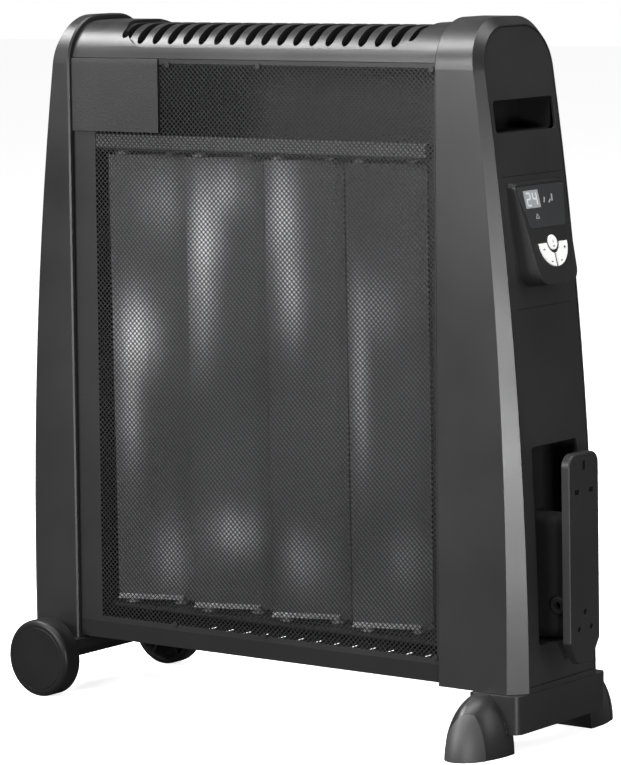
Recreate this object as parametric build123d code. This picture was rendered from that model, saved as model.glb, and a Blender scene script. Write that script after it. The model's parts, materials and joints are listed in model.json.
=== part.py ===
from build123d import *
from math import atan2, cos, degrees, radians, sin, sqrt
import os

# Free-standing mica panel heater. Millimetres, +Z up, front towards -Y, control end at +X.
# The sizes below are in the heater's own frame, whose X = 0 is midway between the end faces.
# Every node is moved by CENTRE_SHIFT when it is written, so that the origin is the bottom
# centre of the whole heater with its cord plate.

# Overall
HEIGHT = 630.0
CASING_BOTTOM = 52.0
BASE_HALF_WIDTH = 281.5
FLARE_SETBACK = 45.24
HALF_DEPTH_LOW = 66.0
HALF_DEPTH_HIGH = 58.2
ARCH_RADIUS = 44.0
CASING_WALL = 2.6
BEVEL = 7.0
BEVEL_SPREAD = 7.0
BEVEL_STATIONS = 6
LIP_LENGTH = 6.0
SOFT_EDGE = 1.5
LEFT_INNER_EDGE = -217.9
RIGHT_INNER_EDGE = 194.8
GAP = 0.4
SHEET = 1.2

# End plates
PLATE_BORDER = 1.2
PLATE_WALL = 2.6
PLATE_SUNK = 0.6
PLATE_FOOT = 5.0
SEAM_WIDTH = 0.8
SEAM_DEPTH = 0.7
UPPER_SEAM_Z = 495.0
UPPER_SEAM_HALF = 47.0
LOWER_SEAM_Z = 382.0
LOWER_SEAM_HALF = 40.0

# Top cover
COVER_SUNK = 5.0
COVER_LOW = 592.0
COVER_WALL = 5.5
POCKET_DEPTH = 3.0
POCKET_HALF_LENGTH = 172.0
POCKET_HALF_DEPTH = 50.0
POCKET_CORNER = 34.0
VENT_COUNT = 19
VENT_PITCH = 17.9
VENT_WIDTH = 9.5
VENT_HALF_DEPTH = 45.5
VENT_FLOOR = 607.0

# Grilles and rails
RAIL_LOW = 54.0
GRILLE_LOW = 70.0
EDGE_TUCK = 5.0
CORNER_PLATE_RIGHT = -115.0
CORNER_PLATE_LOW = 525.0
CORNER_PLATE_WALL = 1.4
CROSS_RAIL_LOW = 510.0
CROSS_RAIL_HIGH = 522.0
CROSS_RAIL_DEPTH = 7.0
RAIL_FLANGE = 18.0
UPRIGHT_WIDTH = 12.0
UPRIGHT_HALF_DEPTH = 47.0
PAN_Z = 56.0
PAN_HALF_DEPTH = 38.0
PAN_SLOTS = 20
PAN_SLOT_WIDTH = 5.0
PAN_SLOT_INSET = 10.0

# Mica panels
PANEL_COUNT = 4
PANEL_PITCH = 90.6
PANEL_WIDTH = 74.5
PANEL_WALL = 3.0
PANEL_YAW = 20.0
PANEL_LOW = 90.0
PANEL_HIGH = 503.0
PANEL_MIDDLE_X = -13.2
PANEL_MIDDLE_Y = -32.0
LIP_DEPTH = 5.0
HANGER_WALL = 3.0
POST_LENGTH = 4.0
POST_RADIUS = 4.5

# Hand slot
SLOT_HALF_WIDTH = 45.5
SLOT_LOW = 532.0
SLOT_HIGH = 560.0
SLOT_CORNER = 4.0
GRIP_DEPTH = 36.0
GRIP_WALL = 2.0

# Control pod
POD_TOP = 490.0
POD_BOTTOM = 398.0
POD_TOP_HALF = 39.0
POD_LOW_HALF = 32.0
POD_CORNER = 17.0
POD_TOP_STAND = 6.0
POD_LOW_STAND = 17.0
POD_DRAFT = 8.0
POD_WALL = 2.4
WINDOW_TOP = 44.0
WINDOW_BOTTOM = 6.5
WINDOW_TOP_HALF = 36.0
WINDOW_LOW_HALF = 26.2
WINDOW_WALL = 1.8
WINDOW_CORNER = 2.5
WINDOW_LEDGE = 2.5
KEY_CENTRE = -9.0
POWER_KEY_RADIUS = 6.5
ARC_KEY_INNER = 9.5
ARC_KEY_OUTER = 21.0
ARC_KEY_SPLIT = 3.0
ARC_KEY_RISE = 0.0
KEY_PROUD = 1.0
KEY_DEPTH = 4.4
KEY_TRAVEL = 0.8
KEY_CLEARANCE = 0.35
SWITCH_HEIGHT = 2.2
BOARD_WALL = 1.6

# Cord bay and wrap plate
BAY_HALF_WIDTH = 35.0
BAY_LOW = 91.0
BAY_HIGH = 263.5
BAY_DEPTH = 25.0
BAY_WALL = 2.0
BAY_CORNER = 4.0
STEM_HALF_WIDTH = 12.0
STEM_LOW = 94.0
STEM_HIGH = 203.0
WRAP_HALF_WIDTH = 23.0
WRAP_WALL = 8.0
WRAP_STAND = 24.0
WRAP_LOW = 73.0
WRAP_SHOULDER = 93.0
WRAP_HIGH = 257.0
WRAP_TIP_HALF = 10.0
WRAP_CORNER = 11.0
PIN_SPACING = 22.2
GLAND_Z = 124.0
GLAND_RADIUS = 8.0
GLAND_BORE = 4.0
GLAND_LENGTH = 5.0

# Feet
FOOT_X = 246.0
FOOT_HALF_WIDTH = 25.5
BEAM_LOW = 18.5
BEAM_INNER = 232.0
BEAM_TOP = CASING_BOTTOM - 0.2
BEAM_HALF_LENGTH = 70.0
BEAM_CORNER = 8.0
LEG_MIDDLE = 70.0
LEG_INNER = 60.0
LEG_REACH = 117.0
DOME_HEIGHT = 54.0
FOOT_SCREW_RADIUS = 2.0
FOOT_SCREW_X = 256.0
FOOT_SCREW_Y = 40.0
PAD_X = 251.5
PAD_REACH = 118.0
PAD_START = 98.0
PAD_HALF_WIDTH = 17.5
PAD_HEIGHT = 40.0
PAD_CLEARANCE = 0.1

# Wheels
WHEEL_X = -238.3
WHEEL_RADIUS = 36.0
WHEEL_WIDTH = 20.7
WHEEL_OUTER_Y = 102.1
WHEEL_WEB = 5.0
HUB_RADIUS = 11.0
AXLE_RADIUS = 4.0
AXLE_CLEARANCE = 0.08
BRACKET_HALF_LENGTH = 76.0
BRACKET_HALF_WIDTH = 25.0
BRACKET_LOW = 34.0
FENDER_RADIUS = 13.0
FENDER_WALL = 6.0
CLIP_WALL = 1.2
SPOKE_COUNT = 6
CAP_RADIUS = 29.5
CAP_WALL = 1.6
AXLE_END = WHEEL_OUTER_Y - 4.0

# Grille screws
SCREW_INSET = 5.5
SCREW_HEAD_RADIUS = 2.6
SCREW_HEAD_HEIGHT = 1.2

# Inside the control end
PARTITION_WALL = 1.5
PARTITION_LOW = 60.0
PARTITION_HIGH = 560.0
BOARD_X = 206.0
BOARD_LOW = 380.0
BOARD_HIGH = 470.0
BOARD_HALF_WIDTH = 42.0
BOARD_HOLE_INSET = 5.5
BOARD_HOLE_RADIUS = 1.8
BOARD_POST_RADIUS = 3.2
HARNESS_Y = 20.0
HARNESS_LOW = 285.0
HARNESS_Z = 345.0
HARNESS_RADIUS = 3.5
HARNESS_BEND = 9.0
HARNESS_STAND = 26.0
HARNESS_REACH = 9.0
BLOCK_LOW = 318.0
BLOCK_HIGH = 336.0
BLOCK_DEPTH = 14.0
BLOCK_WAYS = 4
BLOCK_PITCH = 9.3
BLOCK_FIRST_Y = -26.0
BLOCK_BORE = 2.6
CUTOUT_Y = -24.0
CUTOUT_Z = 496.0
CUTOUT_RADIUS = 8.5
CUTOUT_CUP_RADIUS = 6.5
CUTOUT_WALL = 5.0
CUTOUT_HEIGHT = 11.0
FLAG_HALF_SPAN = 4.0
TIP_X = 213.0
TIP_Z = 290.0
TIP_PIN_RADIUS = 1.5
TIP_HALF_WIDTH = 14.0
TIP_WALL = 2.0
TIP_EAR_REACH = 30.0
TIP_EAR_HALF = 8.0
TIP_BACK_DROP = 26.0
TIP_ARM = 24.0
TIP_WEIGHT_RADIUS = 6.5
TIP_WEIGHT_HALF = 8.0
BAFFLE_LOW = 70.0
BAFFLE_Y = 45.0

ARCH_START = HEIGHT - ARCH_RADIUS
FLARE_RISE = HEIGHT - CASING_BOTTOM
FLARE_RADIUS = (FLARE_RISE**2 + FLARE_SETBACK**2) / (2 * FLARE_SETBACK)
WRAP_FACE_X = BASE_HALF_WIDTH + WRAP_STAND
OUTSIDE_X = BASE_HALF_WIDTH + 40
CENTRE_SHIFT = (BASE_HALF_WIDTH - WRAP_FACE_X) / 2
WHEEL_INNER_Y = WHEEL_OUTER_Y - WHEEL_WIDTH
POD_MIDDLE = (POD_TOP + POD_BOTTOM) / 2
RIGHT_UPRIGHT_X = RIGHT_INNER_EDGE - PARTITION_WALL - GAP - UPRIGHT_WIDTH
SPAN_LEFT = LEFT_INNER_EDGE + UPRIGHT_WIDTH + GAP
SPAN_RIGHT = RIGHT_UPRIGHT_X - GAP
SIDES = (-1, 1)

os.makedirs("parts", exist_ok=True)


def save(name, shape):
    """Write one node, a shape or a list of separate solids, in the row frame."""
    solids = shape if isinstance(shape, list) else [shape]
    moved = [Pos(CENTRE_SHIFT, 0, 0) * solid for solid in solids]
    export_step(Compound(children=moved) if len(moved) > 1 else moved[0], f"parts/{name}.step")


def block(x0, x1, y0, y1, z0, z1):
    """Axis-aligned box from its six limits."""
    centre = Pos((x0 + x1) / 2, (y0 + y1) / 2, (z0 + z1) / 2)
    return centre * Box(x1 - x0, y1 - y0, z1 - z0)


def rod_y(x, z, radius, y0, y1):
    """Cylinder along Y."""
    return Pos(x, (y0 + y1) / 2, z) * Rot(90, 0, 0) * Cylinder(radius, y1 - y0)


def rod_x(y, z, radius, x0, x1):
    """Cylinder along X."""
    return Pos((x0 + x1) / 2, y, z) * Rot(0, 90, 0) * Cylinder(radius, x1 - x0)


def rod_z(x, y, radius, z0, z1):
    """Cylinder along Z."""
    return Pos(x, y, (z0 + z1) / 2) * Cylinder(radius, z1 - z0)


def mirrored(shape):
    """The same shape on the other side of the Y = 0 plane."""
    return shape.mirror(Plane.XZ)


def end_x(z, inset=0.0):
    """X of the flared end face at height z, on the control side."""
    rise = z - CASING_BOTTOM
    return BASE_HALF_WIDTH - inset - (FLARE_RADIUS - sqrt(FLARE_RADIUS**2 - rise**2))


def half_depth(z, inset=0.0):
    """Distance of the casing's front face from the middle plane at height z."""
    share = (z - CASING_BOTTOM) / (HEIGHT - CASING_BOTTOM)
    return HALF_DEPTH_LOW + share * (HALF_DEPTH_HIGH - HALF_DEPTH_LOW) - inset


def front_profile(x_in, inset, low, high):
    """Face in the XZ plane from a straight inner edge to the flared end line."""
    middle = (low + high) / 2
    outline = Polyline((end_x(high, inset), high), (x_in, high), (x_in, low), (end_x(low, inset), low))
    flare = ThreePointArc((end_x(low, inset), low), (end_x(middle, inset), middle), (end_x(high, inset), high))
    return Plane.XZ * make_face(outline + flare)


def flared_block(x_in, inset, low, high, half=90.0):
    """Prism across the whole depth that ends in the flared end face."""
    return extrude(front_profile(x_in, inset, low, high), half, both=True)


def spread_at(z):
    """Share of the bevel's extra width at height z, from 0 where the arch starts to 1 at the bottom."""
    return (ARCH_START - z) / (ARCH_START - CASING_BOTTOM)


def arch(inset, low, x0, x1, spread=0.0):
    """Prism along X with the arched end-view outline, inset from the casing's outside."""
    top = HEIGHT - inset
    foot = CASING_BOTTOM - 5
    half_low = half_depth(foot, inset) - spread * spread_at(foot)
    half_top = half_depth(top, inset) - spread * spread_at(top)
    corners = [(-half_low, foot), (-half_top, top), (half_top, top), (half_low, foot)]
    outline = make_face(Polyline(*corners, close=True))
    outline = fillet(outline.vertices().group_by(Axis.Y)[-1], ARCH_RADIUS - inset)
    prism = extrude(Plane.YZ.offset(x0) * outline, x1 - x0)
    return prism & block(x0 - 1, x1 + 1, -HALF_DEPTH_LOW - 10, HALF_DEPTH_LOW + 10, low, HEIGHT + 10)


# ---------------------------------------------------------------- end casings


def end_outline_edges(shape):
    """Edges of the flared end face, except the one along the bottom."""
    end_face = shape.faces().sort_by(Axis.X)[-1]
    return [edge for edge in end_face.edges() if edge.center().Z > CASING_BOTTOM + 1]


def bevel_width(z, inset):
    """Width of the bevel at height z, on a shell that is inset all round."""
    return BEVEL + BEVEL_SPREAD * spread_at(z) - (2 - sqrt(2)) * inset


def bevel_section(z, inset):
    """Triangle that covers what the bevel takes off the front corner at height z."""
    width = bevel_width(z, inset)
    x = end_x(z, inset)
    y = -half_depth(z, inset)
    over = 6.0
    corners = [(x - width - over, y - over), (x + over, y + width + over), (x + 2 * over, y - 2 * over)]
    return Plane.XY.offset(z) * make_face(Polyline(*corners, close=True))


def bevel_wedge(inset):
    """What the widening bevel takes off the front corner, below the arch."""
    low = CASING_BOTTOM - 1
    step = (ARCH_START - low) / (BEVEL_STATIONS - 1)
    return loft([bevel_section(low + index * step, inset) for index in range(BEVEL_STATIONS)])


def casing_solid(x_in, inset):
    """Solid of one end casing, inset all round, with its outer edges bevelled."""
    low = CASING_BOTTOM + inset
    body = flared_block(x_in, inset, low, HEIGHT) & arch(inset, low, x_in, BASE_HALF_WIDTH + 20)
    body = chamfer(end_outline_edges(body), bevel_width(ARCH_START, inset))
    wedge = bevel_wedge(inset)
    return body - wedge - mirrored(wedge)


def plate_space(border, low):
    """Prism with the end plate's outline."""
    return arch(BEVEL + border, low, 150, BASE_HALF_WIDTH + 20, BEVEL_SPREAD)


def inner_lip(x_in):
    """Band inside the casing's inner edge that closes the step down to the cover and grilles."""
    low = CASING_BOTTOM + CASING_WALL
    outer = arch(CASING_WALL / 2, low, x_in, x_in + LIP_LENGTH)
    return outer - arch(COVER_SUNK - GAP, low - 1, x_in - 1, x_in + LIP_LENGTH + 1)


def casing(x_in):
    """Hollow casing with an open inner side and an opening for its end plate."""
    shell = casing_solid(x_in, 0)
    inner_edges = [edge for edge in shell.faces().sort_by(Axis.X)[0].edges() if edge.center().Z > CASING_BOTTOM + 1]
    shell = chamfer(inner_edges, SOFT_EDGE) - casing_solid(x_in - 1, CASING_WALL)
    return shell + inner_lip(x_in) - plate_space(PLATE_BORDER, CASING_BOTTOM + PLATE_FOOT)


def end_plate():
    """Plain curved plate that closes the casing's end."""
    low = CASING_BOTTOM + PLATE_FOOT + GAP
    slab = flared_block(150, PLATE_SUNK, low, HEIGHT) - flared_block(140, PLATE_SUNK + PLATE_WALL, low - 1, HEIGHT)
    return slab & plate_space(PLATE_BORDER + GAP, low)


def slot_prism(half_width, low, high, corner, x0, x1):
    """Rounded rectangle in the end view, as a prism along X."""
    outline = RectangleRounded(2 * half_width, high - low, corner)
    return extrude(Plane.YZ.offset(x0) * Pos(0, (low + high) / 2) * outline, x1 - x0)


def seam(z, half_width):
    """Shallow groove across the end plate."""
    low, high = z - SEAM_WIDTH / 2, z + SEAM_WIDTH / 2
    outer = block(150, OUTSIDE_X, -half_width, half_width, low, high)
    return outer - flared_block(140, PLATE_SUNK + SEAM_DEPTH, low - 1, high + 1)


BAY_BACK = BASE_HALF_WIDTH - PLATE_WALL - BAY_DEPTH


def right_end_plate():
    """End plate with the hand slot, the key opening, the cord bay's opening and two seams."""
    plate = end_plate()
    plate -= slot_prism(SLOT_HALF_WIDTH, SLOT_LOW, SLOT_HIGH, SLOT_CORNER, 150, OUTSIDE_X)
    plate -= slot_prism(POD_LOW_HALF - 10, POD_BOTTOM + 16, POD_TOP - 12, 6, 150, OUTSIDE_X)
    plate -= slot_prism(BAY_HALF_WIDTH, BAY_LOW, BAY_HIGH, BAY_CORNER, 150, OUTSIDE_X)
    return plate - seam(UPPER_SEAM_Z, UPPER_SEAM_HALF) - seam(LOWER_SEAM_Z, LOWER_SEAM_HALF)


def cord_bay_tray():
    """Open box behind the end plate that holds the wound cord."""
    outer = slot_prism(BAY_HALF_WIDTH + BAY_WALL, BAY_LOW - BAY_WALL, BAY_HIGH + BAY_WALL,
                       BAY_CORNER + BAY_WALL, BAY_BACK - BAY_WALL, OUTSIDE_X)
    inner = slot_prism(BAY_HALF_WIDTH, BAY_LOW, BAY_HIGH, BAY_CORNER, BAY_BACK, OUTSIDE_X + 10)
    return (outer & flared_block(150, PLATE_SUNK + PLATE_WALL + 0.05, CASING_BOTTOM, HEIGHT)) - inner


# ---------------------------------------------------------------- top cover and grilles


def top_cover():
    """Arched cover with a sunk pocket and cross slots for the warm air."""
    x0 = LEFT_INNER_EDGE - EDGE_TUCK
    x1 = RIGHT_INNER_EDGE + EDGE_TUCK
    cover = arch(COVER_SUNK, COVER_LOW, x0, x1) - arch(COVER_SUNK + COVER_WALL, COVER_LOW - 1, x0 - 1, x1 + 1)
    plan = RectangleRounded(2 * POCKET_HALF_LENGTH, 2 * POCKET_HALF_DEPTH, POCKET_CORNER)
    pocket = extrude(Plane.XY.offset(COVER_LOW) * plan, 60)
    cover -= pocket - arch(COVER_SUNK + POCKET_DEPTH, COVER_LOW - 5, x0 - 1, x1 + 1)
    blades = block(-POCKET_HALF_LENGTH, POCKET_HALF_LENGTH, -POCKET_HALF_DEPTH, POCKET_HALF_DEPTH, VENT_FLOOR, HEIGHT)
    cover += blades & arch(COVER_SUNK + POCKET_DEPTH, VENT_FLOOR, x0, x1)
    for index in range(VENT_COUNT):
        x = (index - (VENT_COUNT - 1) / 2) * VENT_PITCH
        vent = RectangleRounded(VENT_WIDTH, 2 * VENT_HALF_DEPTH, VENT_WIDTH / 2 - 0.1)
        cover -= extrude(Plane.XY.offset(COVER_LOW + 5) * Pos(x, 0) * vent, 60)
    return cover


def front_sheet(inset, wall, x0, x1, low, high):
    """Sheet parallel to the sloping front, on the -Y side."""
    sheet = arch(inset, low, x0, x1) - arch(inset + wall, low - 1, x0 - 1, x1 + 1)
    return sheet & block(x0, x1, -100, -30, low, high)


def front_grille():
    """Perforated steel sheet, as a closed sheet of the same outline."""
    x0 = LEFT_INNER_EDGE - EDGE_TUCK
    x1 = RIGHT_INNER_EDGE + EDGE_TUCK
    return front_sheet(COVER_SUNK, SHEET, x0, x1, GRILLE_LOW, COVER_LOW - GAP)


def corner_plate():
    """Plain plate on the grille's top left corner."""
    x0 = LEFT_INNER_EDGE + GAP
    inset = COVER_SUNK - CORNER_PLATE_WALL
    return front_sheet(inset, CORNER_PLATE_WALL, x0, CORNER_PLATE_RIGHT, CORNER_PLATE_LOW, COVER_LOW - GAP)


def cross_rail():
    """Channel behind the grille, above the panels."""
    x0 = SPAN_LEFT
    x1 = SPAN_RIGHT
    face_y = -half_depth(CROSS_RAIL_HIGH, COVER_SUNK + SHEET) + 1.0
    rail = block(x0, x1, face_y, face_y + CROSS_RAIL_DEPTH, CROSS_RAIL_LOW, CROSS_RAIL_HIGH)
    hollow = block(x0 - 1, x1 + 1, face_y + SHEET, face_y + CROSS_RAIL_DEPTH + 1,
                   CROSS_RAIL_LOW + SHEET, CROSS_RAIL_HIGH - SHEET)
    return rail - hollow


def lower_rail():
    """Black strip under the grille, with a flange that carries the pan."""
    x0 = LEFT_INNER_EDGE
    x1 = RIGHT_INNER_EDGE
    strip = front_sheet(COVER_SUNK, 2 * SHEET, x0, x1, RAIL_LOW, GRILLE_LOW)
    face_y = -half_depth(RAIL_LOW, COVER_SUNK)
    return strip + block(x0, x1, face_y + SHEET, face_y + RAIL_FLANGE, RAIL_LOW, RAIL_LOW + SHEET)


def upright(x0):
    """Steel channel that carries the grilles at one end."""
    low = PAN_Z + 2 * SHEET
    outer = block(x0, x0 + UPRIGHT_WIDTH, -UPRIGHT_HALF_DEPTH, UPRIGHT_HALF_DEPTH, low, COVER_LOW - 20)
    hollow = block(x0 + SHEET, x0 + UPRIGHT_WIDTH - SHEET, -UPRIGHT_HALF_DEPTH + SHEET,
                   UPRIGHT_HALF_DEPTH - SHEET, low - 1, COVER_LOW - 10)
    window = block(x0 - 1, x0 + UPRIGHT_WIDTH + 1, -24, 24, 300, 380)
    return outer - hollow - window


def air_baffle():
    """Black heat shield inside the rear grille that turns the warm air up to the outlet."""
    return block(SPAN_LEFT, SPAN_RIGHT, BAFFLE_Y - SHEET, BAFFLE_Y, BAFFLE_LOW, COVER_LOW - COVER_WALL)


def base_pan():
    """Slotted pan between the lower rails, where the cold air comes in."""
    x0 = LEFT_INNER_EDGE
    x1 = RIGHT_INNER_EDGE
    pan = block(x0, x1, -PAN_HALF_DEPTH, PAN_HALF_DEPTH, PAN_Z, PAN_Z + SHEET)
    slot_end = PAN_HALF_DEPTH - PAN_SLOT_INSET
    for index in range(PAN_SLOTS):
        x = x0 + (index + 0.5) * (x1 - x0) / PAN_SLOTS
        half = PAN_SLOT_WIDTH / 2
        pan -= block(x - half, x + half, -slot_end, slot_end, PAN_Z - 1, PAN_Z + 3)
    return pan


# ---------------------------------------------------------------- heating panels


def panel_place(index):
    """Location of one panel, turned about its own middle line."""
    x = PANEL_MIDDLE_X + (index - (PANEL_COUNT - 1) / 2) * PANEL_PITCH
    return Pos(x, PANEL_MIDDLE_Y, 0) * Rot(0, 0, PANEL_YAW)


def panel(index):
    """Mica sheet with a folded lip along its lower edge."""
    half = PANEL_WIDTH / 2
    sheet = block(-half, half, 0, PANEL_WALL, PANEL_LOW, PANEL_HIGH)
    lip = block(-half, half - 10, -LIP_DEPTH, 0, PANEL_LOW, PANEL_LOW + SHEET)
    return panel_place(index) * (sheet + lip)


def post_sites():
    """Middle lines of the insulator posts, two for each panel."""
    return [panel_place(index) * Pos(x, PANEL_WALL / 2, 0) for index in range(PANEL_COUNT) for x in (-24, 24)]


def post(z0, z1, flange_z):
    """Ceramic post with a collar."""
    return rod_z(0, 0, POST_RADIUS, z0, z1) + rod_z(0, 0, POST_RADIUS + 2, flange_z, flange_z + 1.5)


def insulator_posts():
    """Posts between the panels and both hanger rails."""
    upper = post(PANEL_HIGH, PANEL_HIGH + POST_LENGTH, PANEL_HIGH + 1)
    lower = post(PANEL_LOW - POST_LENGTH, PANEL_LOW, PANEL_LOW - 3)
    return [site * shape for site in post_sites() for shape in (upper, lower)]


def hanger(z0):
    """Steel strip across the heater that carries the insulator posts."""
    x0 = SPAN_LEFT
    x1 = SPAN_RIGHT
    y0 = PANEL_MIDDLE_Y - 14
    strip = block(x0, x1, y0, y0 + 30, z0, z0 + HANGER_WALL)
    return strip - block(x0 + 40, x1 - 40, y0 + 13, y0 + 17, z0 - 1, z0 + HANGER_WALL + 1)


UPPER_HANGER_Z = PANEL_HIGH + POST_LENGTH
LOWER_HANGER_Z = PANEL_LOW - POST_LENGTH - HANGER_WALL


def panel_tab(index):
    """Earth tab that stands on the lower hanger beside a panel's right edge."""
    place = panel_place(index)
    edge = place.position + Vector(cos(radians(PANEL_YAW)), sin(radians(PANEL_YAW))) * (PANEL_WIDTH / 2)
    x0 = edge.X + 3
    y0 = PANEL_MIDDLE_Y + 12
    top = LOWER_HANGER_Z + HANGER_WALL
    leaf = block(x0, x0 + 12, y0, y0 + 1.5, top, top + 34) - rod_y(x0 + 6, top + 22, 2.2, y0 - 1, y0 + 3)
    return leaf


# ---------------------------------------------------------------- hand slot


def grip_liner():
    """Pocket behind the hand slot."""
    mouth = end_x(SLOT_HIGH + 4, PLATE_SUNK + PLATE_WALL) - 0.3
    outer = slot_prism(SLOT_HALF_WIDTH + GRIP_WALL, SLOT_LOW - GRIP_WALL, SLOT_HIGH + GRIP_WALL,
                       SLOT_CORNER + GRIP_WALL, mouth - GRIP_DEPTH, mouth)
    inner = slot_prism(SLOT_HALF_WIDTH, SLOT_LOW, SLOT_HIGH, SLOT_CORNER, mouth - GRIP_DEPTH + GRIP_WALL, mouth + 1)
    return outer - inner


# ---------------------------------------------------------------- control pod

POD_TOP_X = end_x(POD_TOP) + POD_TOP_STAND
POD_LOW_X = end_x(POD_BOTTOM + POD_CORNER) + POD_LOW_STAND
POD_TILT = degrees(atan2(POD_LOW_X - POD_TOP_X, POD_TOP - POD_BOTTOM - POD_CORNER))
POD_NORMAL = Vector(cos(radians(POD_TILT)), 0, sin(radians(POD_TILT)))
POD_FACE_X = POD_TOP_X + (POD_LOW_X - POD_TOP_X) * (POD_TOP - POD_MIDDLE) / (POD_TOP - POD_BOTTOM - POD_CORNER)
POD_PLANE = Plane(origin=(POD_FACE_X, 0, POD_MIDDLE), x_dir=(0, 1, 0), z_dir=POD_NORMAL)


def pod_outline(inset):
    """End-view outline of the pod, rounded at its lower corners."""
    corners = [
        (-POD_TOP_HALF + inset, POD_TOP - inset),
        (-POD_LOW_HALF + inset, POD_BOTTOM + inset),
        (POD_LOW_HALF - inset, POD_BOTTOM + inset),
        (POD_TOP_HALF - inset, POD_TOP - inset),
    ]
    outline = make_face(Polyline(*corners, close=True))
    levels = outline.vertices().group_by(Axis.Y)
    outline = fillet(levels[0], POD_CORNER - inset)
    return fillet(outline.vertices().group_by(Axis.Y)[-1], 4.0 - inset / 2)


def pod_prism(inset, sink):
    """Pod outline drawn inwards as it leaves the end plate, cut off at the tilted face."""
    start = end_x(POD_TOP) - 4
    prism = extrude(Plane.YZ.offset(start) * pod_outline(inset), 40, taper=POD_DRAFT)
    above = POD_PLANE.offset(-sink) * Pos(0, 0, 50) * Box(300, 300, 100)
    return prism - above


def face_prism(outline, low, high):
    """Prism on the pod's tilted face, between two heights above that face."""
    return extrude(POD_PLANE.offset(low) * outline, high - low)


def window_outline(clearance=0.0):
    """Trapezoid of the display window on the pod face."""
    corners = [
        (-WINDOW_TOP_HALF - clearance, WINDOW_TOP + clearance),
        (-WINDOW_LOW_HALF - clearance, WINDOW_BOTTOM - clearance),
        (WINDOW_LOW_HALF + clearance, WINDOW_BOTTOM - clearance),
        (WINDOW_TOP_HALF + clearance, WINDOW_TOP + clearance),
    ]
    outline = make_face(Polyline(*corners, close=True))
    return fillet(outline.vertices(), WINDOW_CORNER)


def power_key_outline(clearance=0.0):
    """Round key."""
    return Pos(0, KEY_CENTRE + 2) * Circle(POWER_KEY_RADIUS + clearance)


def arc_key_outline(side, clearance=0.0):
    """Quarter ring key below and beside the round key."""
    ring = Circle(ARC_KEY_OUTER + clearance) - Circle(ARC_KEY_INNER - clearance)
    split = ARC_KEY_SPLIT / 2 - clearance
    span = ARC_KEY_OUTER + 5
    quarter = Pos(side * (split + span / 2), ARC_KEY_RISE + clearance - span / 2) * Rectangle(span, span)
    return Pos(0, KEY_CENTRE + 2) * (ring & quarter)


def control_pod():
    """Pod housing with its window and key openings."""
    pod = pod_prism(0, 0) - flared_block(100, PLATE_SUNK - 0.05, CASING_BOTTOM, HEIGHT)
    pod -= pod_prism(POD_WALL, POD_WALL)
    pod -= face_prism(window_outline(GAP / 2), -WINDOW_WALL, 5)
    pod -= face_prism(window_outline(-WINDOW_LEDGE), -10, 5)
    pod -= face_prism(power_key_outline(KEY_CLEARANCE), -10, 5)
    for side in SIDES:
        pod -= face_prism(arc_key_outline(side, KEY_CLEARANCE), -10, 5)
    return pod


def display_window():
    """Smoked lens in the pod face."""
    return face_prism(window_outline(-GAP / 2), -WINDOW_WALL + 0.05, 0)


def display_module():
    """Display block behind the lens."""
    outline = Pos(-8, 27) * Rectangle(36, 22)
    return face_prism(outline, -WINDOW_WALL - 5.0, -WINDOW_WALL - 0.6)


def key_bottom():
    """Height of a key's underside above the pod face."""
    return KEY_PROUD - KEY_DEPTH


def power_key():
    """Round power key with a domed rim."""
    key = face_prism(power_key_outline(), key_bottom(), KEY_PROUD)
    crown = key.faces().sort_by(Axis((0, 0, 0), POD_NORMAL))[-1]
    return fillet(crown.edges(), 0.6)


def arc_key(side):
    """Setting key shaped as a quarter ring."""
    return face_prism(arc_key_outline(side), key_bottom(), KEY_PROUD)


BOARD_HEIGHT = KEY_PROUD - KEY_DEPTH - KEY_TRAVEL - SWITCH_HEIGHT - 0.2


def key_board():
    """Small circuit board under the keys."""
    outline = Pos(0, KEY_CENTRE + 1) * RectangleRounded(40, 36, 3)
    return face_prism(outline, BOARD_HEIGHT - BOARD_WALL, BOARD_HEIGHT)


def key_switches():
    """One push switch under each key."""
    sites = [(0, KEY_CENTRE + 2), (-11, KEY_CENTRE - 9), (11, KEY_CENTRE - 9)]
    switches = []
    for x, y in sites:
        base = face_prism(Pos(x, y) * Rectangle(6, 6), BOARD_HEIGHT, BOARD_HEIGHT + 1.4)
        switches.append(base + face_prism(Pos(x, y) * Circle(1.6), BOARD_HEIGHT + 1.4, BOARD_HEIGHT + SWITCH_HEIGHT))
    return switches


# ---------------------------------------------------------------- cord bay


def wrap_stem():
    """Post in the cord bay that the cord is wound round."""
    foot_x = BAY_BACK
    tip_x = WRAP_FACE_X - WRAP_WALL
    outline = RectangleRounded(2 * STEM_HALF_WIDTH, STEM_HIGH - STEM_LOW, STEM_HALF_WIDTH - 1)
    stem = extrude(Plane.YZ.offset(foot_x) * Pos(0, (STEM_HIGH + STEM_LOW) / 2) * outline, tip_x - foot_x)
    return stem - rod_y(BASE_HALF_WIDTH + 6, GLAND_Z, GLAND_BORE, -40, 0)


def wrap_outline():
    """End-view outline of the wrap plate, tapered at its foot."""
    corners = [
        (-WRAP_HALF_WIDTH, WRAP_HIGH),
        (-WRAP_HALF_WIDTH, WRAP_SHOULDER),
        (-WRAP_TIP_HALF, WRAP_LOW),
        (WRAP_TIP_HALF, WRAP_LOW),
        (WRAP_HALF_WIDTH, WRAP_SHOULDER),
        (WRAP_HALF_WIDTH, WRAP_HIGH),
    ]
    outline = make_face(Polyline(*corners, close=True))
    outline = fillet(outline.vertices().group_by(Axis.Y)[-1], WRAP_CORNER)
    return fillet(outline.vertices().group_by(Axis.Y)[0], 5.0)


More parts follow.
